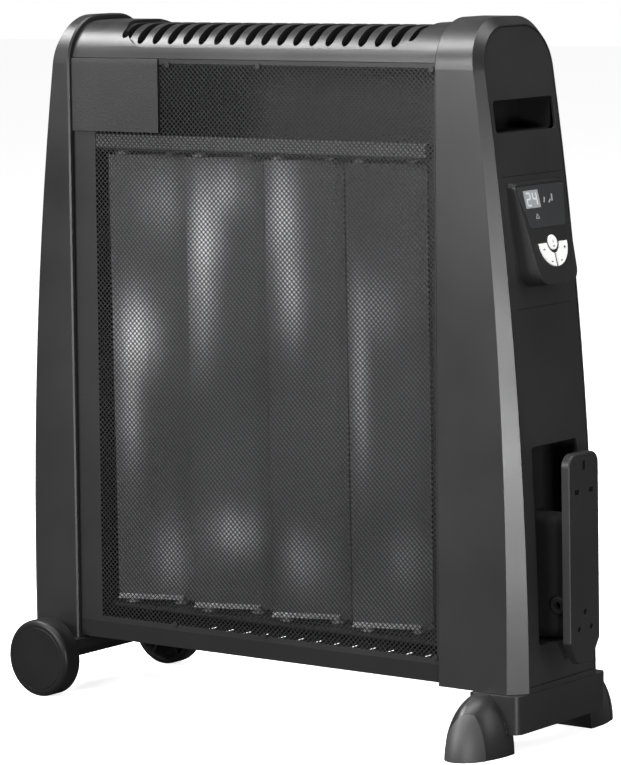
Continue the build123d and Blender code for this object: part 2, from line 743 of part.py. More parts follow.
def wrap_plate():
    """Flat plate that keeps the wound cord on its stem, with holes that park a plug."""
    back_x = WRAP_FACE_X - WRAP_WALL
    plate = extrude(Plane.YZ.offset(back_x) * wrap_outline(), WRAP_WALL)
    rim = plate.edges().group_by(Axis.X)[-1]
    plate = fillet(rim, 1.8)
    earth_z = 246
    holes = Pos(0, earth_z) * Rectangle(4.4, 8.4)
    for side in SIDES:
        holes += Pos(side * PIN_SPACING / 2, earth_z - PIN_SPACING) * Rectangle(6.8, 4.4)
    for y, z in ((0, 118), (9.5, 104), (-9.5, 104)):
        holes += Pos(y, z) * Circle(2.6)
    return plate - extrude(Plane.YZ.offset(back_x - 1) * holes, WRAP_WALL + 2)


def cord_gland():
    """Ring in the stem's side where the mains lead comes out."""
    x = BASE_HALF_WIDTH + 6
    face_y = -STEM_HALF_WIDTH
    collar = rod_y(x, GLAND_Z, GLAND_RADIUS, face_y - GLAND_LENGTH, face_y)
    collar = chamfer(collar.edges().group_by(Axis.Y)[0], 1.5)
    return collar - rod_y(x, GLAND_Z, GLAND_BORE - 0.5, face_y - 20, face_y + 1)


# ---------------------------------------------------------------- foot


def bullet(x, half_width, height, y0, y1):
    """Pointed-arch prism along Y that stands on the floor."""
    left = EllipticalCenterArc((0, 0), half_width, height, start_angle=0, arc_size=180)
    outline = make_face(left + Line((-half_width, 0), (half_width, 0)))
    return extrude(Plane.XZ.offset(-y1) * Pos(x, 0) * outline, y1 - y0)


def dome(grow=0.0):
    """Quarter of an ellipsoid, the rear claw's outside, which stands on the floor."""
    size = (FOOT_HALF_WIDTH + grow, LEG_REACH - LEG_MIDDLE + grow, DOME_HEIGHT)
    shape = Pos(FOOT_X, LEG_MIDDLE, 0) * scale(Sphere(1), by=size)
    return shape & block(FOOT_X - 60, FOOT_X + 60, LEG_INNER, LEG_MIDDLE + 60, 0, BEAM_TOP)


def toe_space(clearance):
    """Space that the pad takes in the claw's toe."""
    return bullet(PAD_X, PAD_HALF_WIDTH + clearance, PAD_HEIGHT + clearance, PAD_START - clearance, PAD_REACH + 5)


def leg():
    """One claw of the foot, with a seat for its pad."""
    return dome() - toe_space(PAD_CLEARANCE)


def foot_screw_sites():
    """Plan positions of the screws that hold the foot beam."""
    return [(FOOT_SCREW_X, side * FOOT_SCREW_Y) for side in SIDES]


def foot_screw_holes():
    """Clearance holes for the foot screws."""
    return [rod_z(x, y, FOOT_SCREW_RADIUS + 0.2, BEAM_LOW - 1, CASING_BOTTOM + 10) for x, y in foot_screw_sites()]


def foot_screws():
    """Screws up through the foot beam into the casing floor."""
    return [rod_z(x, y, FOOT_SCREW_RADIUS, BEAM_LOW + 2, CASING_BOTTOM + 6) for x, y in foot_screw_sites()]


def foot_beam():
    """Beam under the control end with a claw at each end."""
    beam = block(BEAM_INNER, BASE_HALF_WIDTH, -BEAM_HALF_LENGTH, BEAM_HALF_LENGTH, BEAM_LOW, BEAM_TOP)
    beam = fillet(beam.edges().filter_by(Axis.Z).group_by(Axis.X)[-1], BEAM_CORNER)
    return beam + leg() + mirrored(leg()) - foot_screw_holes()


def foot_pad():
    """Soft blunt cap in the toe of the rear claw."""
    return toe_space(0) & dome(PAD_REACH - LEG_REACH)


# ---------------------------------------------------------------- wheels


def wheel_bracket():
    """Bridge under the plain end that holds the axle."""
    x0 = WHEEL_X - BRACKET_HALF_WIDTH
    x1 = WHEEL_X + BRACKET_HALF_WIDTH
    top = CASING_BOTTOM - 0.2
    bridge = block(x0, x1, -BRACKET_HALF_LENGTH, BRACKET_HALF_LENGTH, BRACKET_LOW, top)
    bridge = chamfer(bridge.edges().filter_by(Axis.Y).group_by(Axis.Z)[0], 8)
    for side in SIDES:
        fender_y = sorted((side * (BRACKET_HALF_LENGTH - FENDER_WALL), side * BRACKET_HALF_LENGTH))
        bridge += rod_y(WHEEL_X, WHEEL_RADIUS, FENDER_RADIUS, *fender_y)
    return bridge - rod_y(WHEEL_X, WHEEL_RADIUS, AXLE_RADIUS + 0.02, -120, 120)


def wheel_axle():
    """Steel axle through both wheels."""
    return rod_y(WHEEL_X, WHEEL_RADIUS, AXLE_RADIUS, -AXLE_END, AXLE_END)


def spoke(index):
    """One rib between the hub and the tread of the rear wheel."""
    rib = block(HUB_RADIUS - 1, WHEEL_RADIUS - 4, WHEEL_INNER_Y + 3, WHEEL_OUTER_Y - 2, -1.5, 1.5)
    return Pos(WHEEL_X, 0, WHEEL_RADIUS) * Rot(0, 360 * index / SPOKE_COUNT, 0) * rib


def wheel():
    """Rear wheel: plain outer disc with a rounded tread, hub and ribs inside."""
    tyre = rod_y(WHEEL_X, WHEEL_RADIUS, WHEEL_RADIUS, WHEEL_INNER_Y, WHEEL_OUTER_Y)
    rings = tyre.edges().filter_by(GeomType.CIRCLE).group_by(Axis.Y)
    tyre = fillet(rings[-1], 5.0)
    tyre = fillet(tyre.edges().filter_by(GeomType.CIRCLE).group_by(Axis.Y)[0], 2.0)
    dish = rod_y(WHEEL_X, WHEEL_RADIUS, WHEEL_RADIUS - 5, WHEEL_INNER_Y - 1, WHEEL_OUTER_Y - WHEEL_WEB)
    body = tyre - (dish - rod_y(WHEEL_X, WHEEL_RADIUS, HUB_RADIUS, WHEEL_INNER_Y - 2, WHEEL_OUTER_Y))
    for index in range(SPOKE_COUNT):
        body += spoke(index)
    bore = rod_y(WHEEL_X, WHEEL_RADIUS, AXLE_RADIUS + AXLE_CLEARANCE, WHEEL_INNER_Y - 1, AXLE_END + GAP)
    groove = rod_y(WHEEL_X, WHEEL_RADIUS, CAP_RADIUS, WHEEL_OUTER_Y - CAP_WALL, WHEEL_OUTER_Y + 1)
    return body - bore - groove


def hub_cap():
    """Shallow disc snapped into the rear wheel's outer face."""
    cap = rod_y(WHEEL_X, WHEEL_RADIUS, CAP_RADIUS, WHEEL_OUTER_Y - CAP_WALL, WHEEL_OUTER_Y)
    return chamfer(cap.edges().filter_by(GeomType.CIRCLE).group_by(Axis.Y)[-1], 0.6)


def axle_clips():
    """Spring clips that keep both wheels on the axle, between wheel and bracket."""
    y0 = BRACKET_HALF_LENGTH + GAP
    clip = rod_y(WHEEL_X, WHEEL_RADIUS, AXLE_RADIUS + 3.5, y0, y0 + CLIP_WALL)
    clip -= rod_y(WHEEL_X, WHEEL_RADIUS, AXLE_RADIUS, y0 - 1, y0 + 3)
    clip -= block(WHEEL_X - 1.5, WHEEL_X + 1.5, y0 - 1, y0 + 3, WHEEL_RADIUS, WHEEL_RADIUS + 20)
    return [clip, mirrored(clip)]


# ---------------------------------------------------------------- inside the control end


def board_hole_sites():
    """End-view positions of the power board's four mounting holes."""
    reach = BOARD_HALF_WIDTH - BOARD_HOLE_INSET
    levels = (BOARD_LOW + BOARD_HOLE_INSET, BOARD_HIGH - BOARD_HOLE_INSET)
    return [(side * reach, z) for side in SIDES for z in levels]


def main_board():
    """Power board behind the pod, on the inner side of the control end."""
    board = block(BOARD_X, BOARD_X + BOARD_WALL, -BOARD_HALF_WIDTH, BOARD_HALF_WIDTH, BOARD_LOW, BOARD_HIGH)
    for y, z in board_hole_sites():
        board -= rod_x(y, z, BOARD_HOLE_RADIUS, BOARD_X - 1, BOARD_X + BOARD_WALL + 1)
    return board


def board_parts():
    """Two relays, a transformer, a capacitor and a connector on the power board."""
    x = BOARD_X + BOARD_WALL
    z = BOARD_LOW
    relays = [block(x, x + 15, -34, -16, z + low, z + low + 29) for low in (12, 50)]
    transformer = block(x, x + 18, -6, 22, z + 14, z + 46)
    capacitor = rod_x(30, z + 62, 6, x, x + 18)
    connector = block(x, x + 9, 4, 30, z + 74, z + 84)
    return relays + [transformer, capacitor, connector]


def board_posts():
    """Spacers that hold the power board on the partition."""
    x0 = RIGHT_INNER_EDGE + GAP
    pin = BOARD_HOLE_RADIUS - 0.1
    return [rod_x(y, z, BOARD_POST_RADIUS, x0, BOARD_X) + rod_x(y, z, pin, BOARD_X, BOARD_X + BOARD_WALL + 1.4)
            for y, z in board_hole_sites()]


def board_plate():
    """Insulating partition between the heating space and the electronics."""
    x0 = RIGHT_INNER_EDGE - PARTITION_WALL
    plate = block(x0, x0 + PARTITION_WALL, -UPRIGHT_HALF_DEPTH, UPRIGHT_HALF_DEPTH, PARTITION_LOW, PARTITION_HIGH)
    return plate - rod_x(HARNESS_Y, HARNESS_Z, HARNESS_RADIUS + 1.0, x0 - 5, x0 + 20)


def terminal_block():
    """Ceramic terminal strip for the element leads."""
    x0 = RIGHT_INNER_EDGE + GAP
    last_y = BLOCK_FIRST_Y + BLOCK_PITCH * (BLOCK_WAYS - 1)
    strip = block(x0, x0 + BLOCK_DEPTH, BLOCK_FIRST_Y - 4, last_y + 4, BLOCK_LOW, BLOCK_HIGH)
    for index in range(BLOCK_WAYS):
        y = BLOCK_FIRST_Y + BLOCK_PITCH * index
        strip -= rod_x(y, (BLOCK_LOW + BLOCK_HIGH) / 2, BLOCK_BORE, x0 + 4, x0 + BLOCK_DEPTH + 1)
    return strip


def thermal_cutout():
    """Disc thermostat with its two flags, on the partition near the top."""
    x0 = RIGHT_INNER_EDGE + GAP
    disc = rod_x(CUTOUT_Y, CUTOUT_Z, CUTOUT_RADIUS, x0, x0 + CUTOUT_WALL)
    disc += rod_x(CUTOUT_Y, CUTOUT_Z, CUTOUT_CUP_RADIUS, x0 + CUTOUT_WALL, x0 + CUTOUT_HEIGHT)
    for side in SIDES:
        y = CUTOUT_Y + side * FLAG_HALF_SPAN
        disc += block(x0 + CUTOUT_HEIGHT - 3, x0 + CUTOUT_HEIGHT + 9, y - 0.4, y + 0.4, CUTOUT_Z - 3, CUTOUT_Z + 3)
    return disc


def harness():
    """Sleeved leads from the cord bay past the terminal strip to the power board."""
    x = RIGHT_INNER_EDGE + HARNESS_STAND
    end = (RIGHT_INNER_EDGE - HARNESS_REACH, HARNESS_Y, HARNESS_Z)
    path = FilletPolyline((x, HARNESS_Y, HARNESS_LOW), (x, HARNESS_Y, HARNESS_Z), end, radius=HARNESS_BEND)
    section = Plane(origin=path @ 0, z_dir=path % 0) * Circle(HARNESS_RADIUS)
    return sweep(section, path)


def tip_bracket():
    """Two-eared bracket of the tip-over switch, on the partition near the floor."""
    x0 = RIGHT_INNER_EDGE + GAP
    back = block(x0, x0 + TIP_WALL, -TIP_HALF_WIDTH, TIP_HALF_WIDTH, TIP_Z - TIP_BACK_DROP, TIP_Z + TIP_EAR_HALF)
    bracket = back + rod_y(TIP_X, TIP_Z, TIP_PIN_RADIUS, -TIP_HALF_WIDTH + 1, TIP_HALF_WIDTH - 1)
    for y in (-TIP_HALF_WIDTH, TIP_HALF_WIDTH - TIP_WALL):
        bracket += block(x0, x0 + TIP_EAR_REACH, y, y + TIP_WALL, TIP_Z - TIP_EAR_HALF, TIP_Z + TIP_EAR_HALF)
    return bracket


def tip_pendulum():
    """Weighted pendulum that hangs from the bracket's pin."""
    collar = rod_y(TIP_X, TIP_Z, TIP_PIN_RADIUS + 3, -TIP_WEIGHT_HALF, TIP_WEIGHT_HALF)
    rod = block(TIP_X - 1.5, TIP_X + 1.5, -1.5, 1.5, TIP_Z - TIP_ARM, TIP_Z)
    weight = rod_y(TIP_X, TIP_Z - TIP_ARM, TIP_WEIGHT_RADIUS, -TIP_WEIGHT_HALF, TIP_WEIGHT_HALF)
    return collar + rod + weight - rod_y(TIP_X, TIP_Z, TIP_PIN_RADIUS + AXLE_CLEARANCE, -20, 20)


def tip_microswitch():
    """Microswitch beside the pendulum."""
    x0 = RIGHT_INNER_EDGE + GAP
    body = block(x0, x0 + 10, 18, 38, TIP_Z - 22, TIP_Z - 6)
    return body + block(x0 + 2, x0 + 8, 15.5, 18, TIP_Z - 15, TIP_Z - 13)


# ---------------------------------------------------------------- fasteners


def grille_screws():
    """Small screws along both upper and lower edges of the grilles."""
    screws = []
    columns = (RIGHT_INNER_EDGE - SCREW_INSET, 0.0, CORNER_PLATE_RIGHT + 2 * SCREW_INSET)
    for z in (GRILLE_LOW + SCREW_INSET, COVER_LOW - SCREW_INSET):
        y = half_depth(z, COVER_SUNK)
        for x in columns:
            head = rod_y(x, z, SCREW_HEAD_RADIUS, y + 0.25, y + SCREW_HEAD_HEIGHT)
            screws += [head, mirrored(head)]
    return screws


# ---------------------------------------------------------------- all nodes


def on_plain_end(shape):
    """Turn a control-end shape round to the plain end."""
    return shape.rotate(Axis.Z, 180)


def structure():
    """Casings, cover, grilles and rails."""
    plain_end = on_plain_end(casing(-LEFT_INNER_EDGE))
    save("left_casing", plain_end)
    save("left_end_plate", on_plain_end(end_plate()))
    save("right_casing", casing(RIGHT_INNER_EDGE) - foot_screw_holes())
    save("right_end_plate", right_end_plate())
    save("cord_bay_tray", cord_bay_tray())
    save("air_baffle", air_baffle())
    save("grip_liner", grip_liner())
    save("top_cover", top_cover())
    save("corner_plate", corner_plate())
    save("base_pan", base_pan())
    save("left_upright", upright(LEFT_INNER_EDGE))
    save("right_upright", upright(RIGHT_UPRIGHT_X))
    save("partition", board_plate())
    for name, maker in (("grille", front_grille), ("cross_rail", cross_rail), ("lower_rail", lower_rail)):
        save(f"front_{name}", maker())
        save(f"rear_{name}", mirrored(maker()))


def heating():
    """Mica panels and what holds them."""
    for index in range(PANEL_COUNT):
        save(f"mica_panel_{index + 1}", panel(index))
    save("insulator_posts", insulator_posts())
    save("upper_hanger", hanger(UPPER_HANGER_Z))
    save("lower_hanger", hanger(LOWER_HANGER_Z))
    save("earth_tabs", [panel_tab(index) for index in range(PANEL_COUNT)])


def controls():
    """Pod, keys and the parts inside the control end."""
    save("control_pod", control_pod())
    save("display_window", display_window())
    save("display_module", display_module())
    save("power_key", power_key())
    save("minus_key", arc_key(-1))
    save("plus_key", arc_key(1))
    save("key_board", key_board())
    save("key_switches", key_switches())
    save("main_board", main_board())
    save("board_parts", board_parts())
    save("board_posts", board_posts())
    save("terminal_block", terminal_block())
    save("thermal_cutout", thermal_cutout())
    save("wiring_harness", harness())
    save("tip_switch_bracket", tip_bracket())
    save("tip_switch_pendulum", tip_pendulum())
    save("tip_microswitch", tip_microswitch())


def cord_bay():
    """What stands in the cord bay."""
    save("cord_wrap_stem", wrap_stem())
    save("cord_wrap_plate", wrap_plate())
    save("cord_gland", cord_gland())


def ground_parts():
    """Feet, pads and the wheel set."""
    save("foot_beam", foot_beam())
    save("rear_foot_pad", foot_pad())
    save("front_foot_pad", mirrored(foot_pad()))
    save("foot_screws", foot_screws())
    save("wheel_bracket", wheel_bracket())
    save("wheel_axle", wheel_axle())
    save("axle_clips", axle_clips())
    save("rear_wheel", wheel())
    save("front_wheel", mirrored(wheel()))
    save("rear_hub_cap", hub_cap())
    save("front_hub_cap", mirrored(hub_cap()))
    save("grille_screws", grille_screws())


structure()
heating()
controls()
cord_bay()
ground_parts()
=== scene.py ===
"""Looks of a free-standing mica panel heater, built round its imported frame."""

import json
import logging
import math
from collections.abc import Callable, Iterable
from dataclasses import dataclass
from enum import Enum

import bmesh
import bpy
from mathutils import Matrix, Vector


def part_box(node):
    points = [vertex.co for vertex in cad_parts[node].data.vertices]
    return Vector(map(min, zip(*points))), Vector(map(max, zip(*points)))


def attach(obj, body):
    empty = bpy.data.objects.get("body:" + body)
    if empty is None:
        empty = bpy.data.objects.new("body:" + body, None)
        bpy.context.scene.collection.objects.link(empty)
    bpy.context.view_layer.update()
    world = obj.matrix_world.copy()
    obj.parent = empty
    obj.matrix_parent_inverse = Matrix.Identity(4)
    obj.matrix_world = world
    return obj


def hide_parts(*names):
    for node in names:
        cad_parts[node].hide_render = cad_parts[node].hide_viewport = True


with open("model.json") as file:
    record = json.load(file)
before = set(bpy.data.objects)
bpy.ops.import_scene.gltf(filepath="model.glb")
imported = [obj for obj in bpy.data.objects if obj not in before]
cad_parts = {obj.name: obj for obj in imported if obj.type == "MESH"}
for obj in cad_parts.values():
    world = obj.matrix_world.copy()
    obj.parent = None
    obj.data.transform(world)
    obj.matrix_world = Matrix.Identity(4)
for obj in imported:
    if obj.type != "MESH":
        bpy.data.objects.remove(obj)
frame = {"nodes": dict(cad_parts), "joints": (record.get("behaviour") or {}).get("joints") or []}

logging.basicConfig(level=logging.INFO, format="%(message)s")
LOG = logging.getLogger("heater")

MM = 0.001
WHITE = (1.0, 1.0, 1.0, 1.0)
DUST_COLOUR = (0.35, 0.34, 0.33)
COAT_ROUGHNESS = 0.12
SHARP_ANGLE = math.radians(30)
CUT_TOLERANCE = 0.001 * MM
UPRIGHT_TURN = Matrix.Rotation(math.radians(90), 3, "X")
Colour = tuple[float, float, float]
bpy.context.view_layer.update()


# ---------------------------------------------------------------- node graphs


class Graph:
    """Adds nodes to one node tree and joins them."""

    def __init__(self, tree: bpy.types.NodeTree) -> None:
        """Keep the tree that the nodes go into."""
        self.tree = tree

    def add(self, kind: str, **settings: object) -> bpy.types.Node:
        """Make one node.

        Args:
            kind: Blender's name for the type of node.
            settings: Properties to set on the node.

        Returns:
            The new node.
        """
        node = self.tree.nodes.new(kind)
        for key, value in settings.items():
            setattr(node, key, value)
        return node

    def join(self, source: bpy.types.NodeSocket, target: bpy.types.NodeSocket) -> None:
        """Link an output socket to an input socket."""
        self.tree.links.new(source, target)

    def maths(self, operation: str, first: object, second: object = None) -> bpy.types.NodeSocket:
        """Join a Math node to its one or two operands.

        Args:
            operation: Name of the operation.
            first: A socket or a number.
            second: A socket or a number, or nothing for a one-sided operation.

        Returns:
            The node's output socket.
        """
        node = self.add("ShaderNodeMath", operation=operation)
        for index, operand in enumerate((first, second)):
            if isinstance(operand, bpy.types.NodeSocket):
                self.join(operand, node.inputs[index])
            elif operand is not None:
                node.inputs[index].default_value = operand
        return node.outputs[0]

    def ramp(self, source: bpy.types.NodeSocket, low: float, high: float,
             to_low: float = 0.0, to_high: float = 1.0) -> bpy.types.NodeSocket:
        """Map a range of values to another, clamped.

        Args:
            source: Socket with the value.
            low: Value that maps to to_low.
            high: Value that maps to to_high.
            to_low: Result at low.
            to_high: Result at high.

        Returns:
            The mapped value's socket.
        """
        node = self.add("ShaderNodeMapRange")
        self.join(source, node.inputs["Value"])
        node.inputs["From Min"].default_value = low
        node.inputs["From Max"].default_value = high
        node.inputs["To Min"].default_value = to_low
        node.inputs["To Max"].default_value = to_high
        return node.outputs["Result"]

    def blend(self, mask: bpy.types.NodeSocket, first: object, second: object) -> bpy.types.NodeSocket:
        """Mix two colours by a mask.

        Args:
            mask: Socket that is 0 for the first colour and 1 for the second.
            first: A colour or a colour socket.
            second: A colour or a colour socket.

        Returns:
            The mixed colour's socket.
        """
        node = self.add("ShaderNodeMix", data_type="RGBA")
        self.join(mask, node.inputs["Factor"])
        for socket, operand in ((node.inputs[6], first), (node.inputs[7], second)):
            if isinstance(operand, bpy.types.NodeSocket):
                self.join(operand, socket)
            else:
                socket.default_value = (*operand, 1.0)
        return node.outputs[2]

    def object_noise(self, scale: float, detail: float, stretch: Colour = (1, 1, 1)) -> bpy.types.NodeSocket:
        """Noise on the object's own coordinates.

        Args:
            scale: Lumps per metre.
            detail: Number of octaves.
            stretch: How much finer the noise is along each axis.

        Returns:
            Socket with a value from 0 to 1.
        """
        coordinates = self.add("ShaderNodeTexCoord")
        mapping = self.add("ShaderNodeMapping")
        mapping.inputs["Scale"].default_value = stretch
        noise = self.add("ShaderNodeTexNoise")
        noise.inputs["Scale"].default_value = scale
        noise.inputs["Detail"].default_value = detail
        self.join(coordinates.outputs["Object"], mapping.inputs["Vector"])
        self.join(mapping.outputs["Vector"], noise.inputs["Vector"])
        return noise.outputs["Fac"]


def new_group(name: str, inputs: dict[str, float], outputs: dict[str, str]) -> bpy.types.NodeTree:
    """Make an empty shader node group.

    Args:
        name: Name of the group.
        inputs: Each input value's name and default.
        outputs: Each output's name and socket type.

    Returns:
        The group's tree, with its input and output nodes named Inputs and Outputs.
    """
    tree = bpy.data.node_groups.new(name, "ShaderNodeTree")
    for key, value in inputs.items():
        socket = tree.interface.new_socket(key, in_out="INPUT", socket_type="NodeSocketFloat")
        socket.default_value = value
    for key, kind in outputs.items():
        tree.interface.new_socket(key, in_out="OUTPUT", socket_type=kind)
    tree.nodes.new("NodeGroupInput").name = "Inputs"
    tree.nodes.new("NodeGroupOutput").name = "Outputs"
    return tree


def rounded_edge_group() -> bpy.types.NodeTree:
    """Group that rounds sharp edges and masks them where hands rub them paler."""
    tree = new_group("rounded_edges", {"Radius": 0.6 * MM, "Amount": 1.0},
                     {"Normal": "NodeSocketVector", "Rubbed": "NodeSocketFloat"})
    graph = Graph(tree)
    given, result = tree.nodes["Inputs"], tree.nodes["Outputs"]
    bevel = graph.add("ShaderNodeBevel", samples=4)
    flat = graph.add("ShaderNodeNewGeometry")
    turned = graph.add("ShaderNodeVectorMath", operation="DOT_PRODUCT")
    graph.join(given.outputs["Radius"], bevel.inputs["Radius"])
    graph.join(bevel.outputs["Normal"], turned.inputs[0])
    graph.join(flat.outputs["Normal"], turned.inputs[1])
    edge = graph.ramp(turned.outputs["Value"], 0.995, 0.86)
    patchy = graph.ramp(graph.object_noise(38.0, 3.0), 0.42, 0.68)
    rubbed = graph.maths("MULTIPLY", graph.maths("MULTIPLY", edge, patchy), given.outputs["Amount"])
    graph.join(bevel.outputs["Normal"], result.inputs["Normal"])
    graph.join(rubbed, result.inputs["Rubbed"])
    return tree


def grain_group() -> bpy.types.NodeTree:
    """Group for the fine grain of a moulded, sprayed or rolled surface."""
    tree = new_group("surface_grain", {"Scale": 1800.0, "Depth": 1.0},
                     {"Height": "NodeSocketFloat", "Tone": "NodeSocketFloat"})
    graph = Graph(tree)
    given, result = tree.nodes["Inputs"], tree.nodes["Outputs"]
    coordinates = graph.add("ShaderNodeTexCoord")
    fine = graph.add("ShaderNodeTexNoise")
    fine.inputs["Detail"].default_value = 2.0
    graph.join(coordinates.outputs["Object"], fine.inputs["Vector"])
    graph.join(given.outputs["Scale"], fine.inputs["Scale"])
    graph.join(graph.maths("MULTIPLY", fine.outputs["Fac"], given.outputs["Depth"]), result.inputs["Height"])
    graph.join(graph.ramp(graph.object_noise(9.0, 4.0), 0.3, 0.7), result.inputs["Tone"])
    return tree


def dust_group() -> bpy.types.NodeTree:
    """Group for the thin dust that settles on faces that look up."""
    tree = new_group("settled_dust", {"Amount": 0.1}, {"Mask": "NodeSocketFloat"})
    graph = Graph(tree)
    given, result = tree.nodes["Inputs"], tree.nodes["Outputs"]
    geometry = graph.add("ShaderNodeNewGeometry")
    split = graph.add("ShaderNodeSeparateXYZ")
    graph.join(geometry.outputs["Normal"], split.inputs[0])
    upward = graph.ramp(split.outputs["Z"], 0.25, 1.0)
    patchy = graph.ramp(graph.object_noise(60.0, 5.0), 0.35, 0.75)
    mask = graph.maths("MULTIPLY", graph.maths("MULTIPLY", upward, patchy), given.outputs["Amount"])
    graph.join(mask, result.inputs["Mask"])
    return tree


class Effect(Enum):
    """Node groups that several finishes share."""

    EDGES = "rounded_edges"
    GRAIN = "surface_grain"
    DUST = "settled_dust"


EFFECT_MAKERS: dict[Effect, Callable[[], bpy.types.NodeTree]] = {
    Effect.EDGES: rounded_edge_group,
    Effect.GRAIN: grain_group,
    Effect.DUST: dust_group,
}


def effect(graph: Graph, kind: Effect, **values: float) -> bpy.types.Node:
    """Place a shared effect in a material.

    Args:
        graph: The material's graph.
        kind: Which effect.
        values: This material's values for the group's inputs.

    Returns:
        The group node.
    """
    tree = bpy.data.node_groups.get(kind.value) or EFFECT_MAKERS[kind]()
    node = graph.add("ShaderNodeGroup", node_tree=tree)
    for key, value in values.items():
        node.inputs[key].default_value = value
    return node


# ---------------------------------------------------------------- finishes


@dataclass(frozen=True)
class Finish:
    """A surface with grain, rounded and rubbed edges, uneven tone and a little dust."""

    name: str
    base: Colour
    second: Colour
    roughness: float
    roughness_spread: float = 0.08
    metallic: float = 0.0
    grain_scale: float = 1800.0
    grain_depth: float = 0.05
    edge_radius: float = 0.5 * MM
    rubbed: Colour = (0.16, 0.16, 0.165)
    rub_amount: float = 0.25
    dust: float = 0.05
    coat: float = 0.0
    specular: float = 0.5

    def tone(self, graph: Graph, grain: bpy.types.Node) -> bpy.types.NodeSocket:
        """Colour of the clean surface, before rubbing and dust."""
        return graph.blend(grain.outputs["Tone"], self.base, self.second)

    def build(self) -> bpy.types.Material:
        """Make the material, or return the one already made.

        Returns:
            The material.
        """
        title = f"finish_{self.name}"
        made = bpy.data.materials.get(title)
        if made:
            return made
        material = bpy.data.materials.new(title)
        material.use_nodes = True
        graph = Graph(material.node_tree)
        shader = material.node_tree.nodes["Principled BSDF"]
        edges = effect(graph, Effect.EDGES, Radius=self.edge_radius, Amount=self.rub_amount)
        grain = effect(graph, Effect.GRAIN, Scale=self.grain_scale)
        dust = effect(graph, Effect.DUST, Amount=self.dust)
        worn = graph.blend(edges.outputs["Rubbed"], self.tone(graph, grain), self.rubbed)
        dusty = graph.blend(dust.outputs["Mask"], worn, DUST_COLOUR)
        rough = graph.ramp(grain.outputs["Tone"], 0.0, 1.0, self.roughness - self.roughness_spread / 2,
                           self.roughness + self.roughness_spread / 2)
        bump = graph.add("ShaderNodeBump")
        bump.inputs["Strength"].default_value = self.grain_depth
        bump.inputs["Distance"].default_value = 1.0 * MM
        graph.join(grain.outputs["Height"], bump.inputs["Height"])
        graph.join(edges.outputs["Normal"], bump.inputs["Normal"])
        graph.join(dusty, shader.inputs["Base Color"])
        graph.join(rough, shader.inputs["Roughness"])
        graph.join(bump.outputs["Normal"], shader.inputs["Normal"])
        shader.inputs["Metallic"].default_value = self.metallic
        shader.inputs["Coat Weight"].default_value = self.coat
        shader.inputs["Coat Roughness"].default_value = COAT_ROUGHNESS
        shader.inputs["Specular IOR Level"].default_value = self.specular
        return material


@dataclass(frozen=True)
class SpangledZinc(Finish):
    """Zinc plated sheet with faint crystal patches."""

    patch_scale: float = 160.0

    def tone(self, graph: Graph, grain: bpy.types.Node) -> bpy.types.NodeSocket:
        """Grey that changes from crystal to crystal."""
        coordinates = graph.add("ShaderNodeTexCoord")
        cells = graph.add("ShaderNodeTexVoronoi")
        cells.inputs["Scale"].default_value = self.patch_scale
        graph.join(coordinates.outputs["Object"], cells.inputs["Vector"])
        split = graph.add("ShaderNodeSeparateColor")
        graph.join(cells.outputs["Color"], split.inputs[0])
        return graph.blend(split.outputs[0], self.base, self.second)


@dataclass(frozen=True)
class MicaFoil(Finish):
    """Pressed mica sheet with fine flakes and a soft cloudy painted highlight, a reflection painted into its
    colour.
    """

    # Colour of the painted highlight on the mica.
    painted_sheen: Colour = (0.42, 0.42, 0.43)
    flake_scale: float = 900.0

    def tone(self, graph: Graph, grain: bpy.types.Node) -> bpy.types.NodeSocket:
        """Dark grey, painted silvery as a highlight where the sheet's highlight attribute is high."""
        attribute = graph.add("ShaderNodeAttribute", attribute_name="painted_sheen")
        cloud = graph.ramp(graph.object_noise(26.0, 4.0, (1.6, 1.6, 0.35)), 0.3, 0.75, 0.45, 1.05)
        # Painted highlight mask: the listed soft patches, broken up by cloudy noise and by the flakes.
        mask = graph.maths("MULTIPLY", attribute.outputs["Fac"], cloud)
        coordinates = graph.add("ShaderNodeTexCoord")
        flakes = graph.add("ShaderNodeTexVoronoi")
        flakes.inputs["Scale"].default_value = self.flake_scale
        graph.join(coordinates.outputs["Object"], flakes.inputs["Vector"])
        split = graph.add("ShaderNodeSeparateColor")
        graph.join(flakes.outputs["Color"], split.inputs[0])
        fleck = graph.ramp(split.outputs[0], 0.0, 1.0, 0.8, 1.2)
        plain = graph.blend(grain.outputs["Tone"], self.base, self.second)
        return graph.blend(graph.maths("MULTIPLY", mask, fleck), plain, self.painted_sheen)


@dataclass(frozen=True)
class TrackedBoard(Finish):
    """Circuit board lacquer over faint copper tracks."""

    track_scale: float = 260.0

    def tone(self, graph: Graph, grain: bpy.types.Node) -> bpy.types.NodeSocket:
        """Dark lacquer with paler blocks over the copper."""
        coordinates = graph.add("ShaderNodeTexCoord")
        tracks = graph.add("ShaderNodeTexVoronoi", distance="CHEBYCHEV")
        tracks.inputs["Scale"].default_value = self.track_scale
        graph.join(coordinates.outputs["Object"], tracks.inputs["Vector"])
        edge = graph.ramp(tracks.outputs["Distance"], 0.25, 0.3)
        return graph.blend(edge, self.base, self.second)


MOULDED = Finish("moulded_black", (0.009, 0.009, 0.0095), (0.012, 0.012, 0.0125), 0.34, grain_depth=0.06,
                 specular=0.42, rub_amount=0.15)
SATIN = Finish("satin_black", (0.011, 0.011, 0.0115), (0.015, 0.015, 0.0155), 0.44, grain_depth=0.10,
               specular=0.36, rub_amount=0.15)
